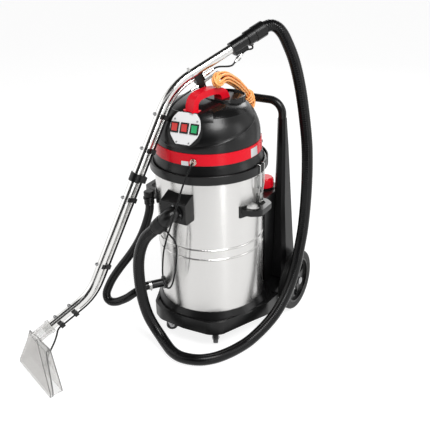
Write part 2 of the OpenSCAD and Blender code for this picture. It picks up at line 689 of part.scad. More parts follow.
module wheel_rim(m) {
  color("dimgray") mirror([m, 0, 0]) translate([wheel_in, axle_y, wheel_r]) rotate([0, 90, 0]) {
    w = wheel_out - wheel_in;
    tube(23, axle_r + running_gap, w);
    difference() {
      translate([0, 0, 2]) cylinder(h = w - 4, r = rim_r);
      translate([0, 0, 1]) cylinder(h = w - 2, r = rim_r - 8);
    }
    difference() {
      translate([0, 0, 17]) cylinder(h = 10, r = rim_r - 7);
      translate([0, 0, 16]) cylinder(h = 12, r = 20);
      for (a = [0:60:300]) rotate([0, 0, a]) translate([58, 0, 22]) linear_extrude(20, center = true)
        polygon(rounded([[-26, -7, 6], [26, -22, 11], [29, 0, 20], [26, 22, 11], [-26, 7, 6]], 4));
    }
  }
}
module wheel_rim_left() { wheel_rim(1); }
module wheel_rim_right() { wheel_rim(0); }
module wheel_tyre(m) {
  color("black") mirror([m, 0, 0]) translate([wheel_in, axle_y, wheel_r]) rotate([0, 90, 0])
      rotate_extrude()
    polygon([[rim_r + seat_gap, 1], [wheel_r - 10, 0], [wheel_r - 4, 3], [wheel_r, 9], [wheel_r, 15],
      [wheel_r - 2, 16], [wheel_r - 2, 18], [wheel_r, 19], [wheel_r, 22], [wheel_r - 2, 23],
          [wheel_r - 2, 25],
      [wheel_r, 26], [wheel_r, 32], [wheel_r - 4, 38], [wheel_r - 10, 41], [rim_r + seat_gap, 40]]);
}
module wheel_tyre_left() { wheel_tyre(1); }
module wheel_tyre_right() { wheel_tyre(0); }

module castor_plates() {
  color("silver") at_castors() {
    translate([0, 0, chassis_z - 3]) cylinder(h = 3, r = 28);
    translate([0, 0, 58]) cylinder(h = 44, r = 6 - running_gap);
    translate([0, 0, 57]) cylinder(h = 4.7, r = 9);
  }
}
module castor_place(i) {
  translate([castor_at.x * (2 * i - 1), castor_at.y, 0]) rotate([0, 0, castor_turn[i]]) children();
}
module castor_fork(i) {
  color("silver") castor_place(i) {
    difference() {
      union() {
        translate([0, 0, 62]) cylinder(h = 14.6, r = 14);
        translate([-14, -14, 62]) cube([46, 28, 5]);
        for (y = [14, -11]) translate([0, y, 0]) rotate([90, 0, 0])
            prism(rounded([[-14, 66, 0], [32, 66, 0],
          [31, 30, 4], [27, 16, 6], [13, 16, 6], [0, 46, 8], [-14, 58, 3]], 3), 3);
      }
      translate([0, 0, 50]) cylinder(h = 40, r = 6);
    }
    translate([castor_trail, 0, castor_r]) rotate([90, 0, 0]) cylinder(h = 32, r = pin_r, center = true);
  }
}
module castor_fork_left() { castor_fork(0); }
module castor_fork_right() { castor_fork(1); }
module castor_wheel(i) {
  color("dimgray") castor_place(i) translate([castor_trail, 0, castor_r]) rotate([90, 0, 0])
      rotate_extrude()
    polygon([[pin_r + running_gap, -10.5], [9, -10.5], [10, -7], [castor_r - 8, -7], [castor_r - 7, -10],
      [castor_r - 2, -10], [castor_r, -7], [castor_r, 7], [castor_r - 2, 10], [castor_r - 7, 10],
      [castor_r - 8, 7], [10, 7], [9, 10.5], [pin_r + running_gap, 10.5]]);
}
module castor_wheel_left() { castor_wheel(0); }
module castor_wheel_right() { castor_wheel(1); }

// tank and push handle
// Horn sections: height, reach inward, outward, forward, back, corner cut
horn = [[rim_z + free_gap, 26, 52, 62, 56, 16], [240, 24, 50, 54, 55, 15], [320, 22, 43, 47, 54, 14],
    [421, 20, 36, 41, 52.5, 13],
  [500, 19.5, 31.5, 37.5, 49, 12], [566, 19, 28.5, 33.5, 44, 11.5], [625, 18.6, 26.5, 29, 39, 11],
  [690, 18.3, 24.5, 24.5, 34, 10.5], [750, 18.1, 22.3, 21, 29, 10], [800, 17.9, 20.2, 19, 24, 9.8],
  [840, 17.7, 18.6, 18, 20, 9.7], [horn_top, 17.5, 17.5, 17.5, 17.5, 9.7]];
function reach(q) = let (d = 1 / sqrt(2), k = q[5]) [[q[1], q[2]], [q[3], q[4]],
  d * [q[1] + q[3] - k, q[2] + q[4] - k], d * [q[1] + q[4] - k, q[2] + q[3] - k]];
module horn_side(k, turn) {
  rotate([90, 0, turn]) mid_prism(concat([for (q = horn) [reach(q)[k][1], q[0]]],
    [for (i = [len(horn) - 1:-1:0]) [-reach(horn[i])[k][0], horn[i][0]]]), 220);
}
module at_horns() { for (m = [0, 1]) mirror([m, 0, 0]) translate([horn_at.x, horn_at.y, 0]) children(); }
tank_x = 176.5;
tank_y = 332;
tank_plan = [[-tank_x, 146], [-140, 170], [140, 170], [tank_x, 146], [tank_x, tank_y], [-tank_x, tank_y]];
tank_in = [[tank_wall - tank_x, 146], [tank_x - tank_wall, 146], [tank_x - tank_wall, tank_y - tank_wall],
  [tank_wall - tank_x, tank_y - tank_wall]];
module solution_tank() {
  color("black") difference() {
    union() {
      difference() {
        translate([0, 0, rim_z]) prism(tank_plan, tank_top - rim_z);
        difference() {
          translate([0, 0, rim_z + tank_wall]) prism(tank_in, tank_top - rim_z - 2 * tank_wall);
          cylinder(h = 900, r = tank_gap_r + tank_wall);
          translate([-300, axle_y - 22 - tank_wall, rim_z])
              cube([far, 44 + 2 * tank_wall, beam_z - rim_z + tank_wall]);
          at_horns() translate([-30, -50, 0]) cube([60, 100, 900]);
        }
      }
      at_horns() intersection() {
        horn_side(0, 0);
        horn_side(1, 90);
        horn_side(2, 45);
        horn_side(3, -45);
      }
      translate([neck_at.x, neck_at.y, tank_top - 2]) cylinder(h = neck_top - tank_top + 2, r = neck_r);
      translate([neck_at.x, neck_at.y, tank_top - 2]) cylinder(h = 7, r = neck_r + 12);
    }
    cylinder(h = 900, r = tank_gap_r);
    translate([0, 0, deck_z]) cylinder(h = drum_z - deck_z, r1 = 240 + free_gap, r2 = 223 + free_gap);
    translate([-300, axle_y - 22, rim_z - 1]) cube([far, 44, beam_z - rim_z + 1]);
    translate([neck_at.x, neck_at.y, tank_top - 20]) cylinder(h = 90, r = 22);
    at_horns() translate([0, 0, horn_top - 40]) cylinder(h = 90, r = tube_r + seat_gap);
  }
}
handle_z = horn_top + 71;
handle_path = [[-horn_at.x, horn_top - 39, 0], [-horn_at.x, handle_z, 58], [horn_at.x, handle_z, 58],
  [horn_at.x, horn_top - 39, 0]];
module push_handle() {
  color("black") translate([0, horn_at.y, 0]) rotate([90, 0, 0]) difference() {
    pipe(handle_path, tube_r);
    pipe(longer(handle_path, 1), tube_r - handle_wall);
  }
}
module filler_cap() {
  color("crimson") translate([neck_at.x, neck_at.y, 0]) difference() {
    union() {
      translate([0, 0, 558]) cylinder(h = 36, r = 35.5);
      translate([0, 0, 594]) cylinder(h = 6, r1 = 35.5, r2 = 30);
      for (a = [0:22.5:337.5]) rotate([0, 0, a]) translate([35, 0, 559]) cylinder(h = 33, r = 2.6);
    }
    translate([0, 0, 550]) cylinder(h = neck_top + 0.2 - 550, r = neck_r + running_gap);
  }
}

// wand
module main_tube() { bent_tube([for (q = path_pts(wand_path, 9)) in_plane(q)], wand_r, wand_r - wand_wall,
    40); }
spray_path = shifted([[206, 279.95, 0], [267, 312, 190], [663, 1078, 240], [758, 1117.15, 0]], spray_off);
module spray_tube() { bent_tube([for (q = path_pts(spray_path, 8)) in_plane(q)], spray_r, spray_r - 1.2,
    16); }
clip_spots = [[126, 0], [186, 0], [325, 1], [456, 1], [549, 1], [612, 1]];
module saddle(len, half_w) {
  along() translate([0, 0, -len / 2]) difference() {
    union() {
      translate([4, -half_w, 0]) cube([34, 2 * half_w, len]);
      cylinder(h = len, r = wand_r + 2.4);
    }
    translate([0, 0, -1]) cylinder(h = len + 2, r = wand_r + seat_gap);
    translate([-40, -40, -1]) cube([36, 80, len + 2]);
    translate([-spray_off, 0, -1]) cylinder(h = len + 2, r = spray_r + seat_gap);
    translate([-jet_off, 0, -1]) cylinder(h = len + 2, r = jet_r + 0.2);
  }
}

module clip_bolts() {
  for (q = clip_spots) wand_spot(q[0], q[1]) rotate([-90, 0, 0]) difference() {
    union() {
      translate([0, 0, 10]) cylinder(h = 11, r = 7);
      translate([0, 0, 21]) cylinder(h = 5, r = 5.6, $fn = 6);
    }
    rotate([0, 90, 0]) cylinder(h = 80, r = wand_r + seat_gap, center = true);
  }
}
module wand_collar() {
  wand_spot(497, 1) along() translate([0, 0, -17]) difference() {
    union() { cylinder(h = 34, r = 23); translate([2, -15, 4]) cube([40, 30, 26]); }
    translate([0, 0, -1]) cylinder(h = 36, r = wand_r + seat_gap);
    translate([-spray_off, 0, -1]) cylinder(h = 36, r = spray_r + seat_gap);
    translate([-jet_off, 0, -1]) cylinder(h = 36, r = jet_r + 0.2);
  }
}
// Valve block hung under the upper straight; local X along the tube, Y away from it
valve_s = 772;
lever_at = [4, -66];
module valve_block() {
  color("black") wand_spot(valve_s, 2) difference() {
    union() {
      translate([-19, -44, -14]) cube([36, 34, 28]);
      translate([-15, -67, -12]) cube([13, 25, 24]);
      for (z = [-12, 8.5]) translate([-3, -73, z]) cube([14, 30, 3.5]);
    }
    rotate([0, 90, 0]) cylinder(h = 200, r = wand_r + seat_gap, center = true);
    translate([-30, spray_off, 0]) rotate([0, 90, 0]) cylinder(h = 15, r = spray_r + seat_gap);
    translate([10, -31, 0]) rotate([0, 90, 0]) cylinder(h = 20, r = 5);
    translate([lever_at.x, lever_at.y, 0]) cylinder(h = 40, r = 2.5 + running_gap, center = true);
  }
}
module valve_lever() {
  color("silver") wand_spot(valve_s, 2) translate([lever_at.x, lever_at.y, 0]) {
    cylinder(h = 24, r = 2.5, center = true);
    cylinder(h = 16, r = 4.5, center = true);
    mid_prism([[0, -4], [4, -4], [12, 11], [78, 14], [84, 10], [86, 12], [80, 17.5], [9, 14.5], [0, 4]],
        16);
  }
}
module wand_clamp() {
  wand_spot(754, 2) along() difference() {
    union() {
      translate([0, 0, -8]) tube(wand_r + 1.8, wand_r + seat_gap, 7);
      translate([-wand_r - 8.5, -5, -8.5]) cube([7, 10, 8]);
    }
    translate([-spray_off, 0, -10]) cylinder(h = 12, r = spray_r + seat_gap);
  }
}
module valve_fittings() {
  wand_spot(valve_s, 2) {
    translate([10, -31, 0]) rotate([0, 90, 0]) cylinder(h = 7, r = 5 - seat_gap);
    translate([17, -31, 0]) rotate([0, 90, 0]) {
      cylinder(h = 8, r = 8, $fn = 6);
      translate([0, 0, 8]) cylinder(h = 22, r = 8);
      translate([0, 0, 30]) cylinder(h = 12, r = 6.5);
      translate([0, 0, 42]) cylinder(h = 8, r = 5.2);
    }
    translate([-15, -56, 0]) rotate([0, -90, 0]) {
      cylinder(h = 7, r = 7.5, $fn = 6);
      translate([0, 0, 7]) cylinder(h = 18, r = 5.5);
      translate([0, 0, 25]) cylinder(h = 8, r = 4.6);
    }
  }
}
filter_at = [162, -55];
module feed_filter() {
  wand_spot(valve_s, 2) translate([filter_at.x, filter_at.y, 0]) rotate([0, 90, 18]) {
    cylinder(h = 12, r = 6);
    translate([0, 0, 12]) cylinder(h = 14, r = 9.5, $fn = 8);
    translate([0, 0, 26]) cylinder(h = 14, r = 6);
  }
}
module grip_sleeve() {
  wand_spot(cuff_s, 2) along() difference() {
    union() { tube(24, wand_r + seat_gap, 74); translate([10, -12, 6]) cube([22, 24, 60]); }
    translate([0, 0, -1]) cylinder(h = 90, r = wand_r + seat_gap);
  }
}
module wand_cuff() {
  wand_spot(cuff_s, 2) translate([74, 0, 0]) along() difference() {
    union() {
      cylinder(h = 36, r = 29);
      translate([0, 0, 36]) cylinder(h = 48, r = 31);
      translate([20, 0, 14]) rotate([0, 90, 0]) cylinder(h = 14, r = 7);
    }
    translate([0, 0, -1]) cylinder(h = 42, r = wand_r + seat_gap);
    translate([0, 0, 40]) cylinder(h = 50, r = hose_r + seat_gap);
    translate([20, 0, 14]) rotate([0, 90, 0]) translate([0, 0, 1]) cylinder(h = 20, r = 3);
  }
}
// World point from [x, y] in the wand's plane, and from a place along the upper straight
function in_plane(q) = [wand_foot.x + q.x * cos(wand_turn), wand_foot.y + q.x * sin(wand_turn), q.y];
function by_valve(q) = in_plane([valve_s + q.x * cos(rise[2]) - q.y * sin(rise[2]),
  1078 + (valve_s - 663) * tan(rise[2]) + q.x * sin(rise[2]) + q.y * cos(rise[2])]);
function mix(a, b, n) = [for (i = [1:n]) a + (b - a) * i / (n + 1)];

// Thin hose under the wand: up from the jet, along the tube, into the valve
jet_path = shifted([[130, 240.03, 0], [267, 312, 190], [663, 1078, 240], [706, 1095.7, 0]], jet_off);
low_bend = fillet(jet_path[0], jet_path[1], jet_path[2], 5);
top_bend = fillet(jet_path[1], jet_path[2], jet_path[3], 5);
jet_start = [jet_path[0].x, jet_path[0].y];
jet_rise = [[-369.7, -666.6, 58], [-369.7, -666.6, 68], [-367, -662, 84], [-361, -652.5, 104],
    [-348, -637.5, 140]];
jet_route = concat([[113, 172], [120.5, 192.5], [131.5, 203.5], jet_start],
  mix(jet_start, low_bend[0], 1), low_bend, mix(low_bend[5], top_bend[0], 6), [top_bend[0]],
  [[664, 1003], [680, 1018.5], [700, 1030.8], [720, 1041], [737.9, 1048.3], [748.9, 1052.84]]);
feed_route = [[67.05, -31], [77, -31], [91, -34.5], [106, -42], [120, -50], [134, -57], [147, -59.9],
    [161.9, -55.03]];
gland_route = [[200.1, -42.62], [208, -40.05], [220, -38.6], [232, -40.5], [242, -44.5], [249, -46],
  [253.6, -42.5], [253.6, -34.05]];
module wand_hoses() {
  color("black") {
    cord(concat(jet_rise, [for (q = jet_route) in_plane(q)]), jet_r, 8);
    cord([for (q = feed_route) by_valve(q)], jet_r, 8);
    cord([for (q = gland_route) by_valve(q)], jet_r, 8);
  }
}

// floor nozzle
nozzle_side = [[0, 0], [14, 0], [15, 6], [53, 6], [62, 150], [24, 214]];
module nozzle_solid() {
  intersection() {
    rotate([90, 0, 90]) mid_prism(nozzle_side, 300);
    rotate([90, 0, 0]) translate([0, 0, -100]) prism([[-142, 0], [142, 0], [142, 16], [60, 150], [26, 216],
      [-26, 216], [-60, 150], [-142, 16]], 120);
  }
}
module nozzle_head() {
  difference() {
    on_nozzle() difference() {
      nozzle_solid();
      intersection() {
        rotate([90, 0, 90]) union() {
          mid_prism([[4, -1], [4 + slot_w, -1], [34 + slot_w, 146], [55, 154], [26.6, 201.6]], 300);
          mid_prism([[9 + slot_w, -1], [50, -1], [58.6, 143], [38.6 + slot_w, 143]], 300);
        }
        rotate([90, 0, 0]) translate([0, 0, -101]) prism([[-138, -2], [138, -2], [138, 15], [56.5, 148],
          [23, 212], [-23, 212], [-56.5, 148], [-138, 15]], 122);
      }
      translate([0, 56, 46]) rotate([90, 0, 0]) cylinder(h = 30, r = 4.05, center = true);
    }
    wand_spot(70, 0) rotate([0, 90, 0]) cylinder(h = 100, r = 16, center = true);
  }
}
module nozzle_socket() {
  difference() {
    wand_spot(70, 0) rotate([0, 90, 0]) difference() {
      union() {
        translate([0, 0, -50]) cylinder(h = 82, r = 25);
        translate([0, 0, 20]) cylinder(h = 12, r = 28);
      }
      translate([0, 0, -60]) cylinder(h = 70, r = 16);
      translate([0, 0, -seat_gap]) cylinder(h = 40, r = wand_r + seat_gap);
    }
    on_nozzle() nozzle_solid();
  }
}
module spray_jet() {
  on_nozzle() difference() {
    union() {
      translate([-11, 40, 37]) cube([22, 34, 18]);
      translate([0, 66, 46]) cylinder(h = 12, r = 6);
      translate([0, 50, 46]) rotate([90, 0, 0]) cylinder(h = 14, r = 4);
    }
    difference() {
      nozzle_solid();
      translate([0, 60, 46]) rotate([90, 0, 0]) cylinder(h = 60, r = 4, center = true);
    }
    translate([-12, 30, 36]) cube([24, 17, 8]);
    translate([-12, 30, 50]) cube([24, 17, 8]);
    translate([-12, 30, 36]) cube([8, 17, 28]);
    translate([4, 30, 36]) cube([8, 17, 28]);
  }
}

// hoses and cable
vacuum_route = [[122.1, 165.9, 1230.2], [141.6, 199.6, 1246.2], [147, 209, 1250.8], [160, 229, 1254],
  [177, 243, 1246], [197, 253, 1222], [218, 260, 1180],
  [243, 266, 1118], [272, 269, 1010], [297, 266, 880], [315, 255, 780], [326, 240, 690], [330, 231, 600],
  [330, 222, 500], [330, 205, 415], [330, 178, 345], [330, 147, 278], [329, 110, 222], [325, 72, 177],
  [318, 35, 140], [306, -5, 104], [288, -48, 72], [268, -92, 46], [250, -138, 30], [233, -184, 25],
  [210, -240, 24], [180, -290, 24], [140, -328, 24], [96, -347, 24], [48, -352, 24], [2, -340, 26],
  [-38, -322, 36], [-76, -306, 54], [-108, -300, 84], [-134, -300, 126], [-152, -300, 178],
      [-163, -300, 240],
  [-167, -300, 305], [-164, -301, 370], [-153, -302, 425], [-134, -303, 474], [-114, -303, 508],
  [-95.5, -303, 528.5], [-76.3, -303, 546.7], [-63.6, -303, 559.4], [-48, -303, 575], [-31.8, -303, 591.2]];
module vacuum_hose() { color("black") cord(vacuum_route, hose_r, 12); }
thin_route = [[66.67, -226.54, 823], [68.9, -234.1, 823], [70.3, -241, 819], [68, -248.5, 806],
    [62, -257, 786], [57, -270, 762],
  [54, -286, 736], [51, -302, 704], [48, -322, 668], [42, -336, 632], [30, -340, 596], [10, -338, 545],
  [-8, -335, 490], [-22, -328, 430], [-32, -320, 375], [-36, -310, 330], [-31, -303, 303], [-20, -298, 300],
  [-8, -295, 318], [4, -292, 360], [13, -290, 410], [19, -289, 455], [21, -290, 495], [16, -295, 523],
  [6, -301, 541], [-5.6, -303, 553.7], [-12, -303, 560.1]];
module solution_hose() { color("black") cord(thin_route, thin_r, 8); }

// Cable: hank over the carrying handle, tail hanging behind, lead from the gland
hank_plane = 86;
hank_edge = [[-50, 1102], [-30, 1112], [0, 1115], [35, 1109], [70, 1094], [120, 1064], [200, 1010],
    [250, 968],
  [264, 930], [264, 815], [228, 815], [228, 930], [200, 962], [122, 1024], [70, 1048], [40, 1063],
      [0, 1072],
  [-30, 1072], [-50, 1072]];
module cable_hank() {
  color("orange") translate([69, 0, 0]) rotate([90, 0, hank_plane])
    mid_prism(rounded([for (q = hank_edge) [q.x, q.y, q.x == -50 ? 12 : q.y == 815 ? 0 : 30]], 3), 38);
}
lead_route = [[0, 214, 900], [0, 224, 900], [1, 238, 898.5], [5, 250, 893], [12, 259, 884], [22, 264, 873],
  [34, 265, 864], [47, 262, 859], [57, 258, 858], [66.7, 256, 858]];
module cable_lead() { color("orange") cord(lead_route, cable_r, 8); }
module cable_gland() {
  translate([0, 0, 900]) rotate([-90, 0, 0]) difference() {
    union() {
      translate([0, 0, 190]) cylinder(h = 20, r = 10);
      translate([0, 0, 209]) cylinder(h = 4, r = 15);
      translate([0, 0, 213]) cylinder(h = 6, r1 = 12, r2 = 7);
    }
    translate([0, 0, 180]) cylinder(h = 40, r = cable_r + 0.2);
  }
}
plug_top = [87, 248, 815];
module cable_plug() {
  translate(plug_top) rotate([180, 0, 0]) {
    cylinder(h = 16, r1 = 5.5, r2 = 8);
    translate([0, 0, 16]) mid_cube([34, 26, 30]);
    translate([0, 0, 46]) mid_cube([42, 32, 12]);
    for (x = [-11, 11]) translate([x, -5, 58]) mid_cube([6, 4, 17]);
    translate([0, 8, 58]) mid_cube([4, 8, 22]);
  }
}
module mid_cube(v) { translate([-v.x / 2, -v.y / 2, 0]) cube(v); }

// grouped pieces
module screws() { color("silver") { panel_screws(); dome_screws(); elbow_screws(); clip_bolts(); } }
module hose_clamps() { color("silver") { drain_clamp(); wand_clamp(); } }
module drain_holder() { color("black") { drain_collar(); drain_bracket(); } }
module wand_tubes() { color("silver") { main_tube(); spray_tube(); } }
module wand_clips() {
  color("black") { for (q = clip_spots) wand_spot(q[0], q[1]) saddle(18, 11); wand_collar(); }
}
module wand_fittings() { color("silver") { valve_fittings(); feed_filter(); spray_jet(); } }
module hose_cuffs() { color("black") { inlet_cuff(); grip_sleeve(); wand_cuff(); } }
module nozzle() { color("lightblue") { nozzle_head(); nozzle_socket(); } }
module cable_ends() { color("black") { cable_gland(); cable_plug(); } }

chassis();
rear_axle();
wheel_rim_left();
wheel_rim_right();
wheel_tyre_left();
wheel_tyre_right();
castor_plates();
castor_fork_left();
castor_fork_right();
castor_wheel_left();
castor_wheel_right();
solution_tank();
push_handle();
filler_cap();
drum();
rim_ring();
side_handles();
latch_plates();
latch_lever_left();
latch_lever_right();
latch_bail_left();
latch_bail_right();
head_flange();
red_band();
head_dome();
top_cap();
head_handle();
control_panel();
rocker_bezels();
rocker_1();
rocker_2();
rocker_3();
screws();
motor_plate();
vacuum_motors();
float_cage();
float_ball();
pump();
solution_coupler();
coupler_sleeve();
inlet_box();
inlet_elbow();
hose_cuffs();
drain_pipe();
hose_clamps();
drain_hose();
drain_holder();
drain_plug();
wand_tubes();
wand_clips();
valve_block();
valve_lever();
wand_fittings();
wand_hoses();
nozzle();
vacuum_hose();
solution_hose();
cable_hank();
cable_lead();
cable_ends();
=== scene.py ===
import math
import random
import bpy
from mathutils import Matrix, Vector


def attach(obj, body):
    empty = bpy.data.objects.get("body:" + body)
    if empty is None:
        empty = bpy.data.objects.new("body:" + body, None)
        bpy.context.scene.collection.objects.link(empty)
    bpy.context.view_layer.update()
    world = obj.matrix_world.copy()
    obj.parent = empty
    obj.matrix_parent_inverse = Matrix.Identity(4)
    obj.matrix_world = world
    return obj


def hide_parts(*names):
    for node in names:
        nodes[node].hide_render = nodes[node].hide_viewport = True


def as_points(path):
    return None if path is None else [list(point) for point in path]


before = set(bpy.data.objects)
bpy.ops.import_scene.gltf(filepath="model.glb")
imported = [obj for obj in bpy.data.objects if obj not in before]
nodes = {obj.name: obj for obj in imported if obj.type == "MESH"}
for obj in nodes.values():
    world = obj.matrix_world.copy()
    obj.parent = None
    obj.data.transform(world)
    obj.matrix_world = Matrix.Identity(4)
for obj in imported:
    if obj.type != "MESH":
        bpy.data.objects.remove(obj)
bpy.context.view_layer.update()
mm = 0.001
print("frame loaded:", len(nodes), "nodes")


def linkNew(name, data):
    thing = bpy.data.objects.new(name, data)
    bpy.context.scene.collection.objects.link(thing)
    return thing


# the camera stands in front and to the right, above the head
cameraView = {"place": (1.3614, -2.1787, 1.7521), "ahead": (-0.4710, 0.7657, -0.4379),
              "up": (-0.2045, 0.3881, 0.8986), "lens": 57.0, "sensor": 36.0,
              "nearest": 0.05, "farthest": 60.0}


def addCamera(view):
    ahead = Vector(view["ahead"]).normalized()
    side = ahead.cross(Vector(view["up"])).normalized()
    data = bpy.data.cameras.new("camera")
    data.lens, data.sensor_width = view["lens"], view["sensor"]
    data.clip_start, data.clip_end = view["nearest"], view["farthest"]
    camera = linkNew("camera", data)
    turn = Matrix((side, side.cross(ahead), -ahead)).transposed().to_4x4()
    camera.matrix_world = Matrix.Translation(view["place"]) @ turn
    bpy.context.scene.camera = camera


addCamera(cameraView)
print("camera placed")


# node trees: put adds a node, join wires two sockets
def put(tree, kind, place=(0, 0), values=None, **settings):
    node = tree.nodes.new(kind)
    node.location = place
    for key, value in settings.items():
        setattr(node, key, value)
    for key, value in (values or {}).items():
        node.inputs[key].default_value = value
    return node


def join(tree, source, sourceName, target, targetName):
    tree.links.new(source.outputs[sourceName], target.inputs[targetName])


def startGroup(name, inputs, outputs):
    tree = bpy.data.node_groups.new(name, "ShaderNodeTree")
    for label, low, high, start in inputs:
        socket = tree.interface.new_socket(name=label, in_out="INPUT", socket_type="NodeSocketFloat")
        socket.min_value, socket.max_value, socket.default_value = low, high, start
    for label in outputs:
        tree.interface.new_socket(name=label, in_out="OUTPUT", socket_type="NodeSocketFloat")
    return tree, put(tree, "NodeGroupInput", (-900, 0)), put(tree, "NodeGroupOutput", (900, 0))


# each of the two may be a number or a (node, output) pair
def math2(tree, operation, place, first, second):
    node = put(tree, "ShaderNodeMath", place, operation=operation)
    for index, given in enumerate((first, second)):
        if isinstance(given, tuple):
            join(tree, *given, node, index)
        else:
            node.inputs[index].default_value = given
    return node


# fine moulded grain with slow cloudy variation and a few handling marks
def makeMouldedSkin():
    tree, start, end = startGroup("mouldedSkin", [("Grain Scale", 1, 4000, 900), ("Cloud Scale", 0.1, 60, 7),
                                                  ("Marks", 0, 1, 0.3)], ["Height", "Cloud", "Marks"])
    coords = put(tree, "ShaderNodeTexCoord", (-900, 300))
    grain = put(tree, "ShaderNodeTexNoise", (-500, 300), {"Detail": 2.0, "Roughness": 0.6})
    join(tree, coords, "Object", grain, "Vector")
    join(tree, start, "Grain Scale", grain, "Scale")
    cloud = put(tree, "ShaderNodeTexNoise", (-500, 0), {"Detail": 4.0, "Roughness": 0.55})
    join(tree, coords, "Object", cloud, "Vector")
    join(tree, start, "Cloud Scale", cloud, "Scale")
    stretch = put(tree, "ShaderNodeMapping", (-700, -300), {"Scale": (9.0, 9.0, 2.4), "Rotation": (0.5, 0.3, 0.0)})
    join(tree, coords, "Object", stretch, "Vector")
    marks = put(tree, "ShaderNodeTexNoise", (-500, -300), {"Scale": 11.0, "Detail": 6.0, "Roughness": 0.72})
    join(tree, stretch, "Vector", marks, "Vector")
    sharp = put(tree, "ShaderNodeMapRange", (-250, -300), {"From Min": 0.6, "From Max": 0.75})
    join(tree, marks, "Fac", sharp, "Value")
    scaled = math2(tree, "MULTIPLY", (0, -300), (sharp, "Result"), (start, "Marks"))
    join(tree, grain, "Fac", end, "Height")
    join(tree, cloud, "Fac", end, "Cloud")
    join(tree, scaled, "Value", end, "Marks")
    return tree


# lines left by a polishing belt, running round the Z axis, and wider bands of tone among them
def makeBrushLines(lineStretch=0.9, bandScale=26.0):
    tree, start, end = startGroup("brushLines", [("Line Scale", 1, 6000, 1400)], ["Lines", "Wide"])
    coords = put(tree, "ShaderNodeTexCoord", (-900, 300))
    parts = put(tree, "ShaderNodeSeparateXYZ", (-700, 300))
    join(tree, coords, "Object", parts, "Vector")
    angle = math2(tree, "ARCTAN2", (-520, 200), (parts, "Y"), (parts, "X"))
    turned = math2(tree, "MULTIPLY", (-340, 200), (angle, "Value"), lineStretch)
    high = math2(tree, "MULTIPLY", (-340, 380), (parts, "Z"), (start, "Line Scale"))
    place = put(tree, "ShaderNodeCombineXYZ", (-160, 300))
    join(tree, turned, "Value", place, "X")
    join(tree, high, "Value", place, "Y")
    lines = put(tree, "ShaderNodeTexNoise", (40, 300), {"Scale": 1.0, "Detail": 3.0, "Roughness": 0.65})
    join(tree, place, "Vector", lines, "Vector")
    slow = math2(tree, "MULTIPLY", (-340, 20), (parts, "Z"), bandScale)
    broad = put(tree, "ShaderNodeCombineXYZ", (-160, 0))
    join(tree, angle, "Value", broad, "X")
    join(tree, slow, "Value", broad, "Y")
    wide = put(tree, "ShaderNodeTexNoise", (40, 0), {"Scale": 1.6, "Detail": 4.0})
    join(tree, broad, "Vector", wide, "Vector")
    join(tree, lines, "Fac", end, "Lines")
    join(tree, wide, "Fac", end, "Wide")
    return tree


# pale dust that settles on faces that look up
def makeSettledDust():
    tree, start, end = startGroup("settledDust", [("Amount", 0, 1, 0.2)], ["Mask"])
    shape = put(tree, "ShaderNodeNewGeometry", (-900, 200))
    parts = put(tree, "ShaderNodeSeparateXYZ", (-700, 200))
    join(tree, shape, "Normal", parts, "Vector")
    level = put(tree, "ShaderNodeMapRange", (-500, 200), {"From Min": 0.35, "From Max": 0.95})
    join(tree, parts, "Z", level, "Value")
    coords = put(tree, "ShaderNodeTexCoord", (-900, -100))
    specks = put(tree, "ShaderNodeTexNoise", (-500, -100), {"Scale": 46.0, "Detail": 8.0, "Roughness": 0.7})
    join(tree, coords, "Object", specks, "Vector")
    spread = put(tree, "ShaderNodeMapRange", (-300, -100), {"From Min": 0.4, "From Max": 0.75})
    join(tree, specks, "Fac", spread, "Value")
    both = math2(tree, "MULTIPLY", (-80, 100), (level, "Result"), (spread, "Result"))
    scaled = math2(tree, "MULTIPLY", (120, 100), (both, "Value"), (start, "Amount"))
    join(tree, scaled, "Value", end, "Mask")
    return tree


mouldedSkin, brushLines, settledDust = makeMouldedSkin(), makeBrushLines(), makeSettledDust()


def startMaterial(name, colour, roughness, metal=0.0, **shaderValues):
    material = bpy.data.materials.new(name)
    material.use_nodes = True
    tree = material.node_tree
    shader = tree.nodes["Principled BSDF"]
    shader.inputs["Base Color"].default_value = (*colour, 1)
    shader.inputs["Roughness"].default_value = roughness
    shader.inputs["Metallic"].default_value = metal
    for key, value in shaderValues.items():
        shader.inputs[key].default_value = value
    material.diffuse_color = (*colour, 1)
    return material, tree, shader


# the first colour may also be an earlier mix
def mixColours(tree, place, factor, first, second):
    mix = put(tree, "ShaderNodeMix", place, data_type="RGBA")
    if isinstance(first, tuple):
        mix.inputs["A"].default_value = (*first, 1)
    else:
        join(tree, first, "Result", mix, "A")
    mix.inputs["B"].default_value = (*second, 1)
    join(tree, *factor, mix, "Factor")
    return mix


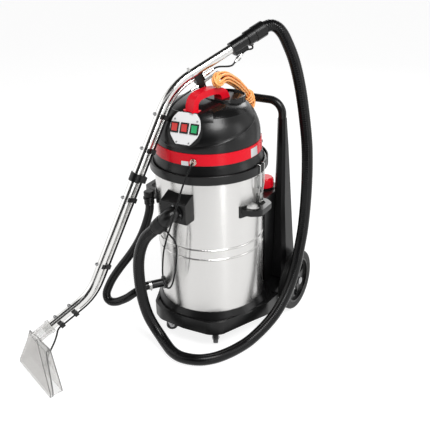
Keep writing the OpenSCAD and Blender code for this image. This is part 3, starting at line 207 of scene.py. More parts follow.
# plastic, rubber and paint: colour drifts with the cloud, marks dull it, dust lies on top
def plasticFinish(name, colour, roughness, specular=0.5, drift=0.25, spread=0.08, grain=900.0, bump=0.04,
                  cloud=7.0, marks=0.3, markDulls=0.25, dust=0.1, dustColour=(0.3, 0.29, 0.27), depth=0.0004):
    material, tree, shader = startMaterial(name, colour, roughness, **{"Specular IOR Level": specular})
    skin = put(tree, "ShaderNodeGroup", (-900, 0), node_tree=mouldedSkin)
    for key, value in (("Grain Scale", grain), ("Cloud Scale", cloud), ("Marks", marks)):
        skin.inputs[key].default_value = value
    settled = put(tree, "ShaderNodeGroup", (-900, 300), {"Amount": dust}, node_tree=settledDust)
    deep = tuple(c * (1 - drift) for c in colour)
    light = tuple(min(1, c * (1 + drift)) for c in colour)
    base = mixColours(tree, (-600, 300), (skin, "Cloud"), deep, light)
    dusty = mixColours(tree, (-350, 300), (settled, "Mask"), base, dustColour)
    join(tree, dusty, "Result", shader, "Base Color")
    rough = put(tree, "ShaderNodeMapRange", (-600, 0), {"To Min": roughness - spread, "To Max": roughness + spread})
    join(tree, skin, "Cloud", rough, "Value")
    marked = math2(tree, "MULTIPLY_ADD", (-350, 0), (skin, "Marks"), markDulls)
    join(tree, rough, "Result", marked, 2)
    join(tree, marked, "Value", shader, "Roughness")
    relief = put(tree, "ShaderNodeBump", (-350, -300), {"Strength": bump, "Distance": depth})
    join(tree, skin, "Height", relief, "Height")
    join(tree, relief, "Normal", shader, "Normal")
    return material


# bare or plated metal: brush lines and clouds change its roughness and tone a little
def metalFinish(name, colour, roughness, lineScale=1400.0, spread=0.08, tone=0.06, bump=0.02, depth=0.0002,
                stain=0.1, cloud=0.06, stainColour=(0.35, 0.33, 0.3), stretch=0.0, stretchTurn=0.0):
    material, tree, shader = startMaterial(name, colour, roughness, 1.0, **{"Anisotropic": stretch,
                                                                            "Anisotropic Rotation": stretchTurn})
    brush = put(tree, "ShaderNodeGroup", (-900, 0), {"Line Scale": lineScale}, node_tree=brushLines)
    skin = put(tree, "ShaderNodeGroup", (-900, 300), {"Cloud Scale": 9.0, "Marks": stain}, node_tree=mouldedSkin)
    toned = mixColours(tree, (-600, 200), (brush, "Wide"), tuple(c * (1 - tone) for c in colour),
                       tuple(min(1, c * (1 + tone)) for c in colour))
    stained = mixColours(tree, (-350, 200), (skin, "Marks"), toned, stainColour)
    join(tree, stained, "Result", shader, "Base Color")
    rough = put(tree, "ShaderNodeMapRange", (-600, -50),
                {"To Min": roughness - spread, "To Max": roughness + spread})
    join(tree, brush, "Lines", rough, "Value")
    cloudy = math2(tree, "MULTIPLY_ADD", (-350, -50), (skin, "Cloud"), cloud)
    join(tree, rough, "Result", cloudy, 2)
    join(tree, cloudy, "Value", shader, "Roughness")
    relief = put(tree, "ShaderNodeBump", (-350, -300), {"Strength": bump, "Distance": depth})
    join(tree, brush, "Lines", relief, "Height")
    join(tree, relief, "Normal", shader, "Normal")
    around = put(tree, "ShaderNodeTangent", (-350, -500), direction_type="RADIAL", axis="Z")
    join(tree, around, "Tangent", shader, "Tangent")
    return material


# clear moulded plastic, dulled by scuffs, with painted shade: the colour turns darker and brown where a wall is seen
# on edge
def clearFinish(name, colour, paintedEdgeShade, roughness, scuff=0.2, scuffDulls=0.5, cloudTone=0.93, edgeShadeBlend=0.22):
    material, tree, shader = startMaterial(name, colour, roughness, **{"IOR": 1.46, "Transmission Weight": 0.9})
    skin = put(tree, "ShaderNodeGroup", (-900, 0), {"Cloud Scale": 12.0, "Marks": scuff}, node_tree=mouldedSkin)
    tint = mixColours(tree, (-600, 200), (skin, "Cloud"), tuple(c * cloudTone for c in colour), colour)
    # painted shade: the facing weight blends in the dark brown edge colour where a wall is seen on edge
    slant = put(tree, "ShaderNodeLayerWeight", (-900, 500), {"Blend": edgeShadeBlend})
    edgeShaded = mixColours(tree, (-350, 300), (slant, "Facing"), tint, paintedEdgeShade)
    join(tree, edgeShaded, "Result", shader, "Base Color")
    rough = math2(tree, "MULTIPLY_ADD", (-600, 0), (skin, "Marks"), scuffDulls)
    rough.inputs[2].default_value = roughness
    join(tree, rough, "Value", shader, "Roughness")
    return material


print("shader groups ready")

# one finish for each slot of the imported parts
finishes = {
    "steel_drum": metalFinish("drumSteel", (0.655, 0.648, 0.637), 0.25, lineScale=1500, spread=0.04, tone=0.01,
                              stain=0.04, cloud=0.02, bump=0.006, stretch=0.75, stretchTurn=0.25),
    "bright_steel": metalFinish("brightSteel", (0.5, 0.5, 0.49), 0.27, lineScale=900),
    "zinc": metalFinish("platedZinc", (0.34, 0.34, 0.345), 0.34, lineScale=600, stain=0.2),
    "chrome_tube": metalFinish("chromedTube", (0.74, 0.735, 0.72), 0.15, lineScale=500, spread=0.03, tone=0.02,
                               stain=0.05),
    "brass": metalFinish("platedBrass", (0.52, 0.47, 0.39), 0.27, lineScale=800),
    "black_satin": plasticFinish("satinBlack", (0.003, 0.003, 0.0032), 0.30, specular=0.34, spread=0.03,
                                 dust=0.008, bump=0.05),
    "black_gloss": plasticFinish("glossBlack", (0.006, 0.006, 0.0062), 0.2, specular=0.3, spread=0.04,
                                 dust=0.008, bump=0.03, marks=0.15),
    "tank_black": plasticFinish("tankBlack", (0.004, 0.004, 0.0042), 0.3, specular=0.2, grain=420, bump=0.1,
                                cloud=5.0, dust=0.01, depth=0.0005),
    "tyre_black": plasticFinish("tyreRubber", (0.005, 0.005, 0.0052), 0.5, specular=0.25, grain=1300, bump=0.12,
                                dust=0.04),
    "castor_grey": plasticFinish("castorTread", (0.06, 0.06, 0.062), 0.5, grain=1000),
    "red_gloss": plasticFinish("glossRed", (0.66, 0.0032, 0.015), 0.26, specular=0.2, drift=0.05, spread=0.04,
                               dust=0.006, bump=0.03, marks=0.15),
    "panel_white": plasticFinish("panelWhite", (0.74, 0.74, 0.745), 0.36, drift=0.02, dust=0.02, marks=0.12),
    "rocker_red": plasticFinish("rockerRed", (0.55, 0.028, 0.024), 0.22, drift=0.08, bump=0.02, dust=0.01),
    "rocker_green": plasticFinish("rockerGreen", (0.006, 0.34, 0.11), 0.22, drift=0.08, bump=0.02, dust=0.01),
    "tube_black": plasticFinish("handleTube", (0.006, 0.006, 0.0063), 0.27, specular=0.3, grain=1500, bump=0.05,
                                dust=0.01),
    "hose_black": plasticFinish("hoseRubber", (0.004, 0.004, 0.0043), 0.24, specular=0.22, grain=1600, bump=0.05,
                                cloud=12.0, dust=0.008),
    "cable_orange": plasticFinish("cableSheath", (1.0, 0.44, 0.14), 0.36, drift=0.06, grain=2200, bump=0.05,
                                  cloud=16.0, dust=0.01, dustColour=(0.8, 0.6, 0.45)),
    # the nozzle's second colour is painted shade for its walls seen on edge
    "nozzle_clear": clearFinish("clearNozzle", (0.93, 0.93, 0.925), (0.30, 0.25, 0.21), 0.06, scuff=0.35),
    "motor_grey": plasticFinish("motorGrey", (0.15, 0.15, 0.16), 0.45, dust=0.06),
    "ball_white": plasticFinish("ballWhite", (0.70, 0.70, 0.68), 0.4, drift=0.04, dust=0.03),
}

for name, node in nodes.items():
    for place in node.material_slots:
        known = place.material.name.split(".")[0] if place.material else ""
        if known in finishes:
            place.material = finishes[known]
print("finishes laid on the packed parts")

# edges that a mould or a press leaves round, in millimetres per part
edgeRounds = {
    "chassis": 2.0, "solution_tank": 3.0, "filler_cap": 1.2, "rim_ring": 1.2, "side_handles": 2.5,
    "latch_plates": 0.5, "latch_lever_left": 0.5, "latch_lever_right": 0.5, "head_flange": 1.2, "red_band": 1.0,
    "head_dome": 1.2, "top_cap": 1.2, "head_handle": 4.0, "control_panel": 1.0, "rocker_bezels": 0.8,
    "rocker_1": 0.8, "rocker_2": 0.8, "rocker_3": 0.8, "screws": 0.3, "solution_coupler": 0.5,
    "coupler_sleeve": 0.5, "inlet_box": 4.0, "inlet_elbow": 1.0, "hose_cuffs": 1.0, "hose_clamps": 0.3,
    "drain_pipe": 0.8, "drain_holder": 0.8, "drain_plug": 1.2, "wand_clips": 1.2, "valve_block": 1.2,
    "valve_lever": 1.0, "wand_fittings": 0.4, "nozzle": 1.0, "wheel_rim_left": 1.2, "wheel_rim_right": 1.2,
    "castor_plates": 0.8, "castor_fork_left": 0.6, "castor_fork_right": 0.6, "rear_axle": 0.8,
    "cable_ends": 1.2, "wand_tubes": 0.3,
}
# how an edge is rounded: what counts as one point (metres), as flat and as an edge (degrees)
rounding = {"samePoint": 0.00002, "flatBelow": 0.6, "edgeAbove": 32, "segments": 2, "flatWeight": 60}


def roundEdges(node, width, settings):
    weld = node.modifiers.new("weld", "WELD")
    weld.merge_threshold = settings["samePoint"]
    flat = node.modifiers.new("flat", "DECIMATE")
    flat.decimate_type, flat.angle_limit = "DISSOLVE", math.radians(settings["flatBelow"])
    edge = node.modifiers.new("edge", "BEVEL")
    edge.width, edge.segments = width * mm, settings["segments"]
    edge.limit_method, edge.angle_limit = "ANGLE", math.radians(settings["edgeAbove"])
    edge.use_clamp_overlap, edge.harden_normals = True, False
    even = node.modifiers.new("even", "WEIGHTED_NORMAL")
    even.keep_sharp, even.weight = False, settings["flatWeight"]


for name, width in edgeRounds.items():
    roundEdges(nodes[name], width, rounding)
print("edges rounded")


# a line through given points, in evenly spaced steps (millimetres in, metres out): each stretch is a curve of
# the centripetal kind, which does not overshoot where the points lie close
def smoothLine(points, step, samples=12, tiny=1e-6):
    spots = [Vector(p) for p in points]
    ends = [spots[0] * 2 - spots[1], *spots, spots[-1] * 2 - spots[-2]]
    dense = []
    for i in range(1, len(ends) - 2):
        a, b, c, d = ends[i - 1:i + 3]
        ab, bc, cd = ((b - a).length ** 0.5, (c - b).length ** 0.5, (d - c).length ** 0.5)
        first = b + (c - b) / 3 if ab < tiny else (b * (2 * ab * ab + 3 * ab * bc + bc * bc) - a * bc * bc
                                                   + c * ab * ab) / (3 * ab * (ab + bc))
        second = c - (c - b) / 3 if cd < tiny else (c * (2 * cd * cd + 3 * cd * bc + bc * bc) - d * bc * bc
                                                    + b * cd * cd) / (3 * cd * (cd + bc))
        for k in range(samples):
            t = k / samples
            dense.append(b * (1 - t) ** 3 + first * 3 * t * (1 - t) ** 2 + second * 3 * t * t * (1 - t)
                         + c * t ** 3)
    dense.append(spots[-1])
    total = sum((q - p).length for p, q in zip(dense, dense[1:]))
    count = max(2, round(total / step))
    line, walked, index = [dense[0]], 0.0, 0
    for k in range(1, count):
        goal = total * k / count
        while walked + (dense[index + 1] - dense[index]).length < goal:
            walked += (dense[index + 1] - dense[index]).length
            index += 1
        part = (goal - walked) / (dense[index + 1] - dense[index]).length
        line.append(dense[index].lerp(dense[index + 1], part))
    line.append(dense[-1])
    return [p * mm for p in line], total * mm


# a visible piece of the machine's own body, in the finish of a slot or in one of its own
def newPiece(name, mesh, slotName, finish=None, smooth=True):
    piece = linkNew(name, mesh)
    mesh.materials.append(finish or finishes[slotName])
    if smooth:
        mesh.polygons.foreach_set("use_smooth", [True] * len(mesh.polygons))
    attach(piece, "machine")
    return piece


# rings along a line, carried without twist; reach gives the radius at (distance, angle)
def tubeMesh(name, line, reach, sides):
    tangents = [(line[min(i + 1, len(line) - 1)] - line[max(i - 1, 0)]).normalized() for i in range(len(line))]
    side = tangents[0].orthogonal().normalized()
    verts, faces, walked = [], [], 0.0
    for i, (spot, ahead) in enumerate(zip(line, tangents)):
        side = (side - ahead * side.dot(ahead)).normalized()
        other = ahead.cross(side)
        walked += (spot - line[i - 1]).length if i else 0.0
        for k in range(sides):
            angle = 2 * math.pi * k / sides
            verts.append(spot + (side * math.cos(angle) + other * math.sin(angle)) * reach(walked, angle))
    for i in range(len(line) - 1):
        for k in range(sides):
            low, high = i * sides, (i + 1) * sides
            faces.append((low + k, low + (k + 1) % sides, high + (k + 1) % sides, high + k))
    faces.append(tuple(range(sides))[::-1])
    faces.append(tuple((len(line) - 1) * sides + k for k in range(sides)))
    mesh = bpy.data.meshes.new(name)
    mesh.from_pydata(verts, [], faces)
    mesh.validate()
    return mesh


# suction hose: thin wall over a hard spiral that shows as low ribs
suctionHose = {"radius": 23.5, "rib": 0.55, "pitch": 9.0, "step": 2.2, "sides": 26, "route": [
    (122.1, 165.9, 1230.2), (141.6, 199.6, 1246.2), (147, 209, 1250.8), (160, 229, 1254), (177, 243, 1246),
    (197, 253, 1222), (218, 260, 1180), (243, 266, 1118), (272, 269, 1010), (297, 266, 880), (315, 255, 780),
    (326, 240, 690), (330, 231, 600), (330, 222, 500), (330, 205, 415), (330, 178, 345), (330, 147, 278),
    (329, 110, 222), (325, 72, 177), (318, 35, 140), (306, -5, 104), (288, -48, 72), (268, -92, 46),
    (250, -138, 30), (233, -184, 25), (210, -240, 24), (180, -290, 24), (140, -328, 24), (96, -347, 24),
    (48, -352, 24), (2, -340, 26), (-38, -322, 36), (-76, -306, 54), (-108, -300, 84), (-134, -300, 126),
    (-152, -300, 178), (-163, -300, 240), (-167, -300, 305), (-164, -301, 370), (-153, -302, 425),
    (-134, -303, 474), (-114, -303, 508), (-95.5, -303, 528.5), (-76.3, -303, 546.7), (-63.6, -303, 559.4),
    (-48, -303, 575), (-31.8, -303, 591.2)]}
# waste hose from the foot of the drum up to its holder
wasteHose = {"radius": 18, "rib": 0.35, "pitch": 7.0, "step": 2.4, "sides": 22, "route": [
    (-175.53, -224.66, 227), (-182.9, -234, 227), (-190, -244.5, 225), (-199, -257.5, 220), (-210, -272, 212),
    (-224, -285, 201), (-243, -295, 185), (-268, -303, 169), (-296, -310, 155), (-322, -315, 152),
    (-340, -314, 162), (-347, -308, 182), (-342, -296, 210), (-330, -278, 245), (-306, -250, 292),
    (-276, -224, 340), (-250, -204, 386), (-227, -188, 436), (-209, -176, 487), (-196, -168, 534),
    (-191, -165.4, 560), (-190, -165, 572), (-190, -165, 583)]}
# pressure hose from the coupler on the red band to the suction hose's cuff
pressureHose = {"radius": 3.5, "rib": 0.0, "pitch": 4.0, "step": 3.0, "sides": 12, "route": [
    (66.67, -226.54, 823), (68.9, -234.1, 823), (70.3, -241, 819), (68, -248.5, 806), (62, -257, 786),
    (57, -270, 762), (54, -286, 736), (51, -302, 704), (48, -322, 668), (42, -336, 632), (30, -340, 596),
    (10, -338, 545), (-8, -335, 490), (-22, -328, 430), (-32, -320, 375), (-36, -310, 330), (-31, -303, 303),
    (-20, -298, 300), (-8, -295, 318), (4, -292, 360), (13, -290, 410), (19, -289, 455), (21, -290, 495),
    (16, -295, 523), (6, -301, 541), (-5.6, -303, 553.7), (-12, -303, 560.1)]}


# the rib runs round the hose as a screw thread does; the root of the cosine gives it full shoulders
def ribbed(settings):
    radius, rib, pitch = settings["radius"] * mm, settings["rib"] * mm, settings["pitch"] * mm

    def reach(walked, angle):
        return radius - rib + rib * max(0.0, math.cos(2 * math.pi * walked / pitch - angle)) ** 0.5

    return reach


def layHose(name, settings, node):
    line, length = smoothLine(settings["route"], settings["step"])
    mesh = tubeMesh(name, line, ribbed(settings), settings["sides"])
    hose = newPiece(name, mesh, "hose_black")
    if node:
        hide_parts(node)
    tuple(line[0])
    print(name, round(length, 3), "m")


layHose("suctionHose", suctionHose, "vacuum_hose")
layHose("wasteHose", wasteHose, "drain_hose")
layHose("pressureHose", pressureHose, "solution_hose")

# thin hoses on the wand: valve to spray jet, filter to valve, cuff to filter
thinHose = {"radius": 3.5, "rib": 0.0, "pitch": 4.0, "step": 2.5, "sides": 12}
wandHoses = {
    "jetHose": [(-369.7, -666.6, 58), (-369.7, -666.6, 68), (-367, -662, 84), (-361, -652.5, 104),
                (-348, -637.5, 140), (-337.5, -630.1, 172), (-333.8, -623.6, 192.5), (-328.3, -614.1, 203.5),
                (-321.2, -601.9, 210.4), (-300.2, -565.5, 232.4), (-279.2, -529.1, 254.5),
                (-267.5, -509, 268.6), (-256.8, -490.4, 285.5), (-247.2, -473.8, 304.8),
                (-238.9, -459.3, 326.4), (-231.9, -447.2, 349.7), (-208.5, -406.6, 440.4), (-185, -366, 531.1),
                (-161.6, -325.4, 621.7), (-138.1, -284.8, 712.4), (-114.7, -244.3, 803.1),
                (-91.3, -203.7, 893.7), (-67.8, -163.1, 984.4), (-62, -153, 1003), (-54, -139.1, 1018.5),
                (-44, -121.8, 1030.8), (-34, -104.5, 1041), (-25.05, -89, 1048.3), (-19.55, -79.4, 1052.84)],
    "filterHose": [(28.9, 4.5, 1119.8), (33.5, 12.5, 1123.6), (40.6, 24.8, 1125.7), (49, 39.3, 1124.5),
                   (57, 53.2, 1122.4), (64.8, 66.7, 1121.3), (71.4, 78, 1123.6), (77.3, 88.4, 1133.8)],
    "cuffHose": [(92.6, 114.9, 1159.8), (95.8, 120.3, 1165.2), (101.1, 129.5, 1171.1), (107, 139.7, 1173.9),
                 (112.3, 149, 1174), (115.9, 155.1, 1175.3), (117.3, 157.6, 1180.3), (115.7, 154.9, 1188.1)]}
for name, route in wandHoses.items():
    layHose(name, {**thinHose, "route": route}, "wand_hoses" if name == "jetHose" else None)

# mains cable: out of the head, up and down the hank, round it, and down to the plug, in millimetres. Places
# along the hank run from 0 at the front to 1 at its low end; angles go round its middle line
mains = {"radius": 4.5, "step": 3.4, "sides": 10, "seed": 11,
         "outer": {"reach": 15.5, "start": 0, "order": (0, 4, 8, 3, 7, 2, 6, 1, 5)},
         "inner": {"reach": 6.6, "start": 20, "order": (0, 2, 4, 1, 3)},
         "firstEnds": 0.93, "lastEnds": 0.66, "samples": 13, "wander": 0.5, "lean": 0.08, "leanWaves": 3,
         "twist": 0.25,  # radians that a strand turns from one end to the other
         "fan": {"until": 0.6, "narrow": 0.1, "tall": 0.25},  # the front lies flatter against its middle line
         "turn": {"reach": 23, "share": 0.16, "curve": 1.5, "fill": 0.75, "steps": 6, "swing": 0.25,
                  "push": 0.78, "pushStep": 0.085, "pushCount": 7},
         "wrap": {"reach": 25.5, "turns": 3.2, "start": 0.655, "pitch": 0.0408, "steps": 12, "ease": 4,
                  "wave": 0.6, "waveTurn": 0.9},
         "tail": {"angle": 100, "steps": [(0.82, 24.5, 0.35), (0.88, 24, 0.7), (0.94, 22, 0.95), (1.0, 12, 1.0)]},
         "plug": [(87, 248, 828), (87, 248, 815)],
         "shift": 66, "azimuth": 93, "middleStep": 4.0,
         "middle": [(-26, 1090), (0, 1092), (38, 1085), (70, 1071), (121, 1044), (165, 1014), (200, 986),
                    (230, 956), (243, 925), (246, 885), (246, 848)],
         "lead": [(0, 214, 900), (0, 224, 900), (1, 238, 898.5), (5, 250, 893), (12, 259, 884), (22, 264, 873),
                  (34, 265, 864), (47, 262, 859), (57, 258, 858), (66.7, 256, 858)]}


# the hank's middle line, and a point beside it at a reach and an angle
def hankFrame(settings):
    turn = math.radians(settings["azimuth"])
    along = Vector((math.cos(turn), math.sin(turn), 0))
    across = Vector((math.sin(turn), -math.cos(turn), 0))
    spots = [Vector((settings["shift"], 0, z)) + along * x for x, z in settings["middle"]]
    middle = [p / mm for p in smoothLine(spots, settings["middleStep"])[0]]

    def middleAt(t):
        place = max(0.0, min(1.0, t)) * (len(middle) - 1)
        i = min(int(place), len(middle) - 2)
        ahead = (middle[min(i + 2, len(middle) - 1)] - middle[max(i - 1, 0)]).normalized()
        return middle[i].lerp(middle[i + 1], place - i), ahead

    def beside(t, reach, angle):
        spot, ahead = middleAt(t)
        lift = ahead.cross(across).normalized()
        fan = max(0.0, 1 - t / settings["fan"]["until"])
        return spot + (across * math.cos(angle) * (1 - settings["fan"]["narrow"] * fan)
                       + lift * math.sin(angle) * (1 + settings["fan"]["tall"] * fan)) * reach

    return middleAt, beside


def strandPlaces(ring):
    return [(ring["reach"], math.radians(ring["start"] + 360 / len(ring["order"]) * k)) for k in ring["order"]]


# from the end of one strand round to the start of the next
def strandTurn(spot, first, second, out, push, settings):
    points = []
    for k in range(1, settings["steps"]):
        turn = math.pi * k / settings["steps"]
        blend = math.cos(turn)
        radial = first * blend if blend > 0 else second * -blend
        points.append(spot + radial + out * push * math.sin(turn)
                      + first.cross(out) * settings["swing"] * math.sin(turn) ** 2)
    return points


def cableRoute(settings):
    random.seed(settings["seed"])
    middleAt, beside = hankFrame(settings)
    strands = strandPlaces(settings["outer"]) + strandPlaces(settings["inner"])
    route = [Vector(p) for p in settings["lead"]]
    samples, twist, turn = settings["samples"], settings["twist"], settings["turn"]
    for index, (reach, angle) in enumerate(strands):
        upward = index % 2 == 0
        last = index == len(strands) - 1
        wander = [random.uniform(-settings["wander"], settings["wander"]) for _ in range(samples)]
        lean = random.uniform(-settings["lean"], settings["lean"])
        times = [k / (samples - 1) for k in range(samples)]
        if upward:
            times.reverse()
        for k, t in enumerate(times):
            if index == 0 and t > settings["firstEnds"] or last and t > settings["lastEnds"]:
                continue
            flare = max(0.0, 1 - min(t, 1 - t) / turn["share"]) ** turn["curve"]
            wide = reach + (turn["reach"] - reach) * flare * turn["fill"] + wander[k] * (1 - flare)
            route.append(beside(t, wide, angle + twist * t + lean * math.sin(settings["leanWaves"] * t)))
        if last:
            break
        nextReach, nextAngle = strands[index + 1]
        end = 0.0 if upward else 1.0
        spot, ahead = middleAt(end)
        wide = turn["reach"] * turn["fill"] + nextReach * (1 - turn["fill"])
        second = beside(end, wide, nextAngle + twist * end) - spot
        push = turn["reach"] * (turn["push"] + turn["pushStep"] * (index % turn["pushCount"]))
        route += strandTurn(spot, route[-1] - spot, second, -ahead if upward else ahead, push, turn)
    wrap, tail = settings["wrap"], settings["tail"]
    startAngle = strands[-1][1] + twist * settings["lastEnds"]
    inner = settings["inner"]["reach"]
    for k in range(int(wrap["turns"] * wrap["steps"]) + 1):
        reach = inner + (wrap["reach"] - inner) * min(1.0, k / wrap["ease"])
        route.append(beside(wrap["start"] + wrap["pitch"] * k / wrap["steps"],
                            reach + wrap["wave"] * math.sin(k * wrap["waveTurn"]),
                            startAngle + 2 * math.pi * k / wrap["steps"]))
    endAngle = startAngle + 2 * math.pi * wrap["turns"]
    goal = math.radians(tail["angle"])
    near = goal + 2 * math.pi * round((endAngle - goal) / (2 * math.pi))
    for t, reach, part in tail["steps"]:
        route.append(beside(t, reach, endAngle + (near - endAngle) * part))
    route += [Vector(p) for p in settings["plug"]]
    return [tuple(p) for p in route]


def layCable(settings):
    line, length = smoothLine(cableRoute(settings), settings["step"])
    mesh = tubeMesh("mainsCable", line, lambda walked, angle: settings["radius"] * mm, settings["sides"])
    cable = newPiece("mainsCable", mesh, "cable_orange")
    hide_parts("cable_hank", "cable_lead")
    tuple(line[0])
    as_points(line)
    print("mains cable", round(length, 2), "m")


layCable(mains)

# raised crease that sweeps over the dome: the skin as (radius, height), the route as (degrees round the axis,
# height) and the section as (across, lift), in millimetres
crease = {"skin": [(209, 851), (208.8, 866), (208, 880), (206.5, 893), (204, 905), (201, 916), (197, 926),
                   (192.5, 937), (187, 947), (181.5, 955.5), (176, 963)],
          "route": [(-124, 880), (-116, 876), (-108, 872.5), (-99, 869.5), (-88, 868), (-76.5, 869), (-68.8, 871.5),
                    (-61.6, 875), (-54.5, 880), (-46.9, 886), (-39.2, 893), (-30.8, 900.5), (-21.3, 909.5),
                    (-9, 921), (5.3, 934), (18.8, 945), (30, 952)],
          "across": [(-11, -0.5), (-8, 0.25), (-5, 0.9), (-2.5, 1.7), (-0.8, 2.5), (0.6, 2.7), (1.8, 2.1),
                     (2.8, 0.7), (3.6, -0.6)], "step": 4.0, "fade": 45.0, "endWidth": 0.45, "sunk": 0.3}


def layCrease(settings):
    skin = settings["skin"]

    def onDome(degrees, high):
        k = max(i for i in range(len(skin) - 1) if skin[i][1] <= high)
        low, top = skin[k], skin[k + 1]
        radius = low[0] + (top[0] - low[0]) * (high - low[1]) / (top[1] - low[1])
        turn = math.radians(degrees)
        outward = Vector((math.cos(turn), math.sin(turn), 0))
        slope = (low[0] - top[0]) / (top[1] - low[1])
        return outward * radius + Vector((0, 0, high)), (outward + Vector((0, 0, slope))).normalized()

    narrow = settings["endWidth"]
    line, total = smoothLine([onDome(*place)[0] for place in settings["route"]], settings["step"])
    verts, faces, walked = [], [], 0.0
    width = len(settings["across"])
    for i, spot in enumerate(line):
        ahead = (line[min(i + 1, len(line) - 1)] - line[max(i - 1, 0)]).normalized()
        place = spot / mm
        _, normal = onDome(math.degrees(math.atan2(place.y, place.x)), place.z)
        across = normal.cross(ahead).normalized() * -1
        walked += (spot - line[i - 1]).length / mm if i else 0.0
        share = min(1.0, walked / settings["fade"], (total / mm - walked) / settings["fade"])
        share = share * share * (3 - 2 * share)
        for wide, lift in settings["across"]:
            point = place + across * wide * (narrow + (1 - narrow) * share)
            skinSpot, _ = onDome(math.degrees(math.atan2(point.y, point.x)), point.z)
            verts.append((skinSpot + normal * (lift * share - settings["sunk"] * (1 - share))) * mm)
    for i in range(len(line) - 1):
        for k in range(width - 1):
            low = i * width + k
            faces.append((low, low + 1, low + width + 1, low + width))
    mesh = bpy.data.meshes.new("domeCrease")
    mesh.from_pydata(verts, [], faces)
    newPiece("domeCrease", mesh, "black_satin")


layCrease(crease)

# tapered boot where the mains lead leaves the head, grooved so that it bends
leadBoot = {"route": [(0, 217, 900), (0, 224, 900), (0.6, 233, 899.3), (2.6, 242.5, 897), (5.5, 250.5, 892.6)],
            "start": 9.6, "end": 5.9, "ring": 0.7, "ringNarrows": 3, "pitch": 5.0, "step": 0.8, "sides": 24}


def layBoot(settings):
    line, length = smoothLine(settings["route"], settings["step"])

    def reach(walked, angle):
        taper = settings["start"] + (settings["end"] - settings["start"]) * walked / length
        groove = 0.5 - 0.5 * math.cos(2 * math.pi * walked / (settings["pitch"] * mm))
        return (taper - settings["ring"] * groove ** settings["ringNarrows"]) * mm

    newPiece("leadBoot", tubeMesh("leadBoot", line, reach, settings["sides"]), "black_satin")


layBoot(leadBoot)

# bare plates on the red band: degrees round the axis and heights; the band leans in by lean for each millimetre
plates = {"dataPlate": {"from": -9.2, "to": 3.4, "low": 808, "high": 842},
          "smallPlate": {"from": -87, "to": -79, "low": 805.5, "high": 822.5}}
plateSeat = {"radius": 214.9, "thick": 1.2, "lean": 0.05, "leanFrom": 806, "steps": 10}
plateSilver = metalFinish("plateSilver", (0.66, 0.68, 0.69), 0.36, lineScale=300, stain=0.3)


def layPlate(name, settings, seat):
    verts, faces, steps = [], [], seat["steps"]
    for i in range(steps + 1):
        turn = math.radians(settings["from"] + (settings["to"] - settings["from"]) * i / steps)
        for z in (settings["low"], settings["high"]):
            lean = seat["lean"] * (z - seat["leanFrom"])
            for r in (seat["radius"] - seat["thick"] - lean, seat["radius"] - lean):
                verts.append((r * math.cos(turn) * mm, r * math.sin(turn) * mm, z * mm))
    for i in range(steps):
        a, b = 4 * i, 4 * i + 4
        faces += [(a + 1, b + 1, b + 3, a + 3), (a, a + 2, b + 2, b), (a, b, b + 1, a + 1),
                  (a + 2, a + 3, b + 3, b + 2)]
    faces += [(0, 1, 3, 2), (4 * steps, 4 * steps + 2, 4 * steps + 3, 4 * steps + 1)]
    mesh = bpy.data.meshes.new(name)
    mesh.from_pydata(verts, [], faces)
    newPiece(name, mesh, "zinc", plateSilver, smooth=False)


for name, settings in plates.items():
    layPlate(name, settings, plateSeat)
print("details laid")

# pale floor and an even studio: white behind, soft lamps on the object, and dark flags behind the camera and
# overhead that only polished faces show
studio = {
    "skyForObject": 0.33, "floorSize": 90.0, "floorDrop": 0.0006, "floorTone": 0.8, "floorGlow": 0.62,
    "glowStrength": 1.36, "flagTone": 0.01, "matt": 0.9,
    "lamps": {
        "keyLamp": {"place": (2.1, -1.36, 3.5), "aim": (0.0, 0.0, 0.8), "size": (1.5, 1.5), "watts": 124.0},
        "fillLamp": {"place": (-3.2, -2.4, 2.3), "aim": (0.0, 0.0, 0.6), "size": (3.4, 3.0), "watts": 24.0},
        "sideLamp": {"place": (3.6, 1.0, 1.7), "aim": (0.0, 0.0, 0.5), "size": (0.9, 2.4), "watts": 18.0},
        "stripLamp": {"place": (2.3, -1.5, 0.5), "aim": (0.0, 0.0, 0.45), "size": (0.2, 0.9), "watts": 4.0},
        "backLamp": {"place": (-0.6, 3.4, 2.6), "aim": (0.0, 0.0, 0.7), "size": (2.0, 1.2), "watts": 34.0}},
    "flags": {
        "backFlag": {"place": (1.5, -4.4, 1.9), "facing": (-0.32, 0.95, 0.0), "size": (6.0, 3.4)},
        "topFlag": {"place": (0.0, -0.5, 4.4), "facing": (0.0, 0.0, -1.0), "size": (8.0, 8.0)}}}


def sheetMesh(name, wide, high, material):
    mesh = bpy.data.meshes.new(name)
    mesh.from_pydata([(-wide / 2, -high / 2, 0), (wide / 2, -high / 2, 0), (wide / 2, high / 2, 0),
                      (-wide / 2, high / 2, 0)], [], [(0, 1, 2, 3)])
    mesh.materials.append(material)
    return mesh


# 1 where the camera, a glossy ray or a clear piece looks at the background
def backgroundRays(tree):
    paths = put(tree, "ShaderNodeLightPath", (-700, 250))
    first = math2(tree, "MAXIMUM", (-500, 250), (paths, "Is Camera Ray"), (paths, "Is Transmission Ray"))
    return math2(tree, "MAXIMUM", (-400, 350), (first, "Value"), (paths, "Is Glossy Ray"))


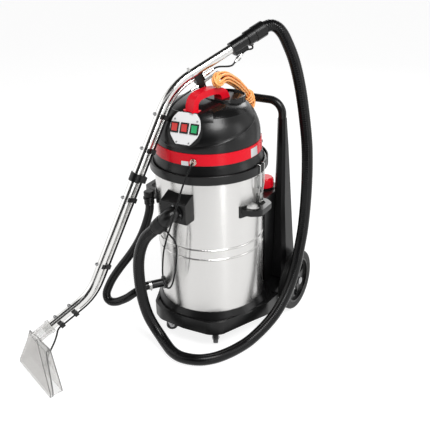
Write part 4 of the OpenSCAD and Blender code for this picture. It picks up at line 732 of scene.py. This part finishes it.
def addWorld(settings):
    world = bpy.data.worlds.new("studioWorld")
    bpy.context.scene.world = world
    world.use_nodes = True
    tree = world.node_tree
    for node in list(tree.nodes):
        tree.nodes.remove(node)
    out = put(tree, "ShaderNodeOutputWorld", (600, 0))
    sky = put(tree, "ShaderNodeBackground", (0, -100), {"Color": (1, 1, 1, 1), "Strength": settings["skyForObject"]})
    white = put(tree, "ShaderNodeBackground", (0, 100), {"Color": (1, 1, 1, 1), "Strength": 1.0})
    mix = put(tree, "ShaderNodeMixShader", (300, 0))
    join(tree, backgroundRays(tree), "Value", mix, 0)
    join(tree, sky, "Background", mix, 1)
    join(tree, white, "Background", mix, 2)
    join(tree, mix, "Shader", out, "Surface")


def addFloor(settings):
    tone = (settings["floorTone"],) * 3
    material, tree, shader = startMaterial("paleFloor", tone, settings["matt"])
    glow = put(tree, "ShaderNodeEmission", (0, 300), {"Color": (1, 1, 1, 1), "Strength": settings["glowStrength"]})
    share = math2(tree, "MULTIPLY", (-300, 300), (backgroundRays(tree), "Value"), settings["floorGlow"])
    mix = put(tree, "ShaderNodeMixShader", (400, 100))
    join(tree, share, "Value", mix, 0)
    join(tree, shader, "BSDF", mix, 1)
    join(tree, glow, "Emission", mix, 2)
    join(tree, mix, "Shader", tree.nodes["Material Output"], "Surface")
    floor = linkNew("studioFloor", sheetMesh("studioFloor", settings["floorSize"], settings["floorSize"], material))
    floor.location.z = -settings["floorDrop"]


def addLamps(settings):
    for name, lamp in settings["lamps"].items():
        light = bpy.data.lights.new(name, "AREA")
        light.shape, light.energy = "RECTANGLE", lamp["watts"]
        light.size, light.size_y = lamp["size"]
        holder = linkNew(name, light)
        holder.location = lamp["place"]
        holder.rotation_euler = (Vector(lamp["aim"]) - Vector(lamp["place"])).to_track_quat("-Z", "Y").to_euler()


def addFlags(settings):
    cloth = startMaterial("darkCloth", (settings["flagTone"],) * 3, settings["matt"])[0]
    for name, flag in settings["flags"].items():
        card = linkNew(name, sheetMesh(name, *flag["size"], cloth))
        card.location = flag["place"]
        card.rotation_euler = Vector(flag["facing"]).to_track_quat("Z", "Y").to_euler()
        card.visible_camera = card.visible_diffuse = card.visible_shadow = card.visible_transmission = False


for add in (addWorld, addFloor, addLamps, addFlags):
    add(studio)
bpy.context.scene.view_settings.view_transform = "Standard"
print("studio lit")
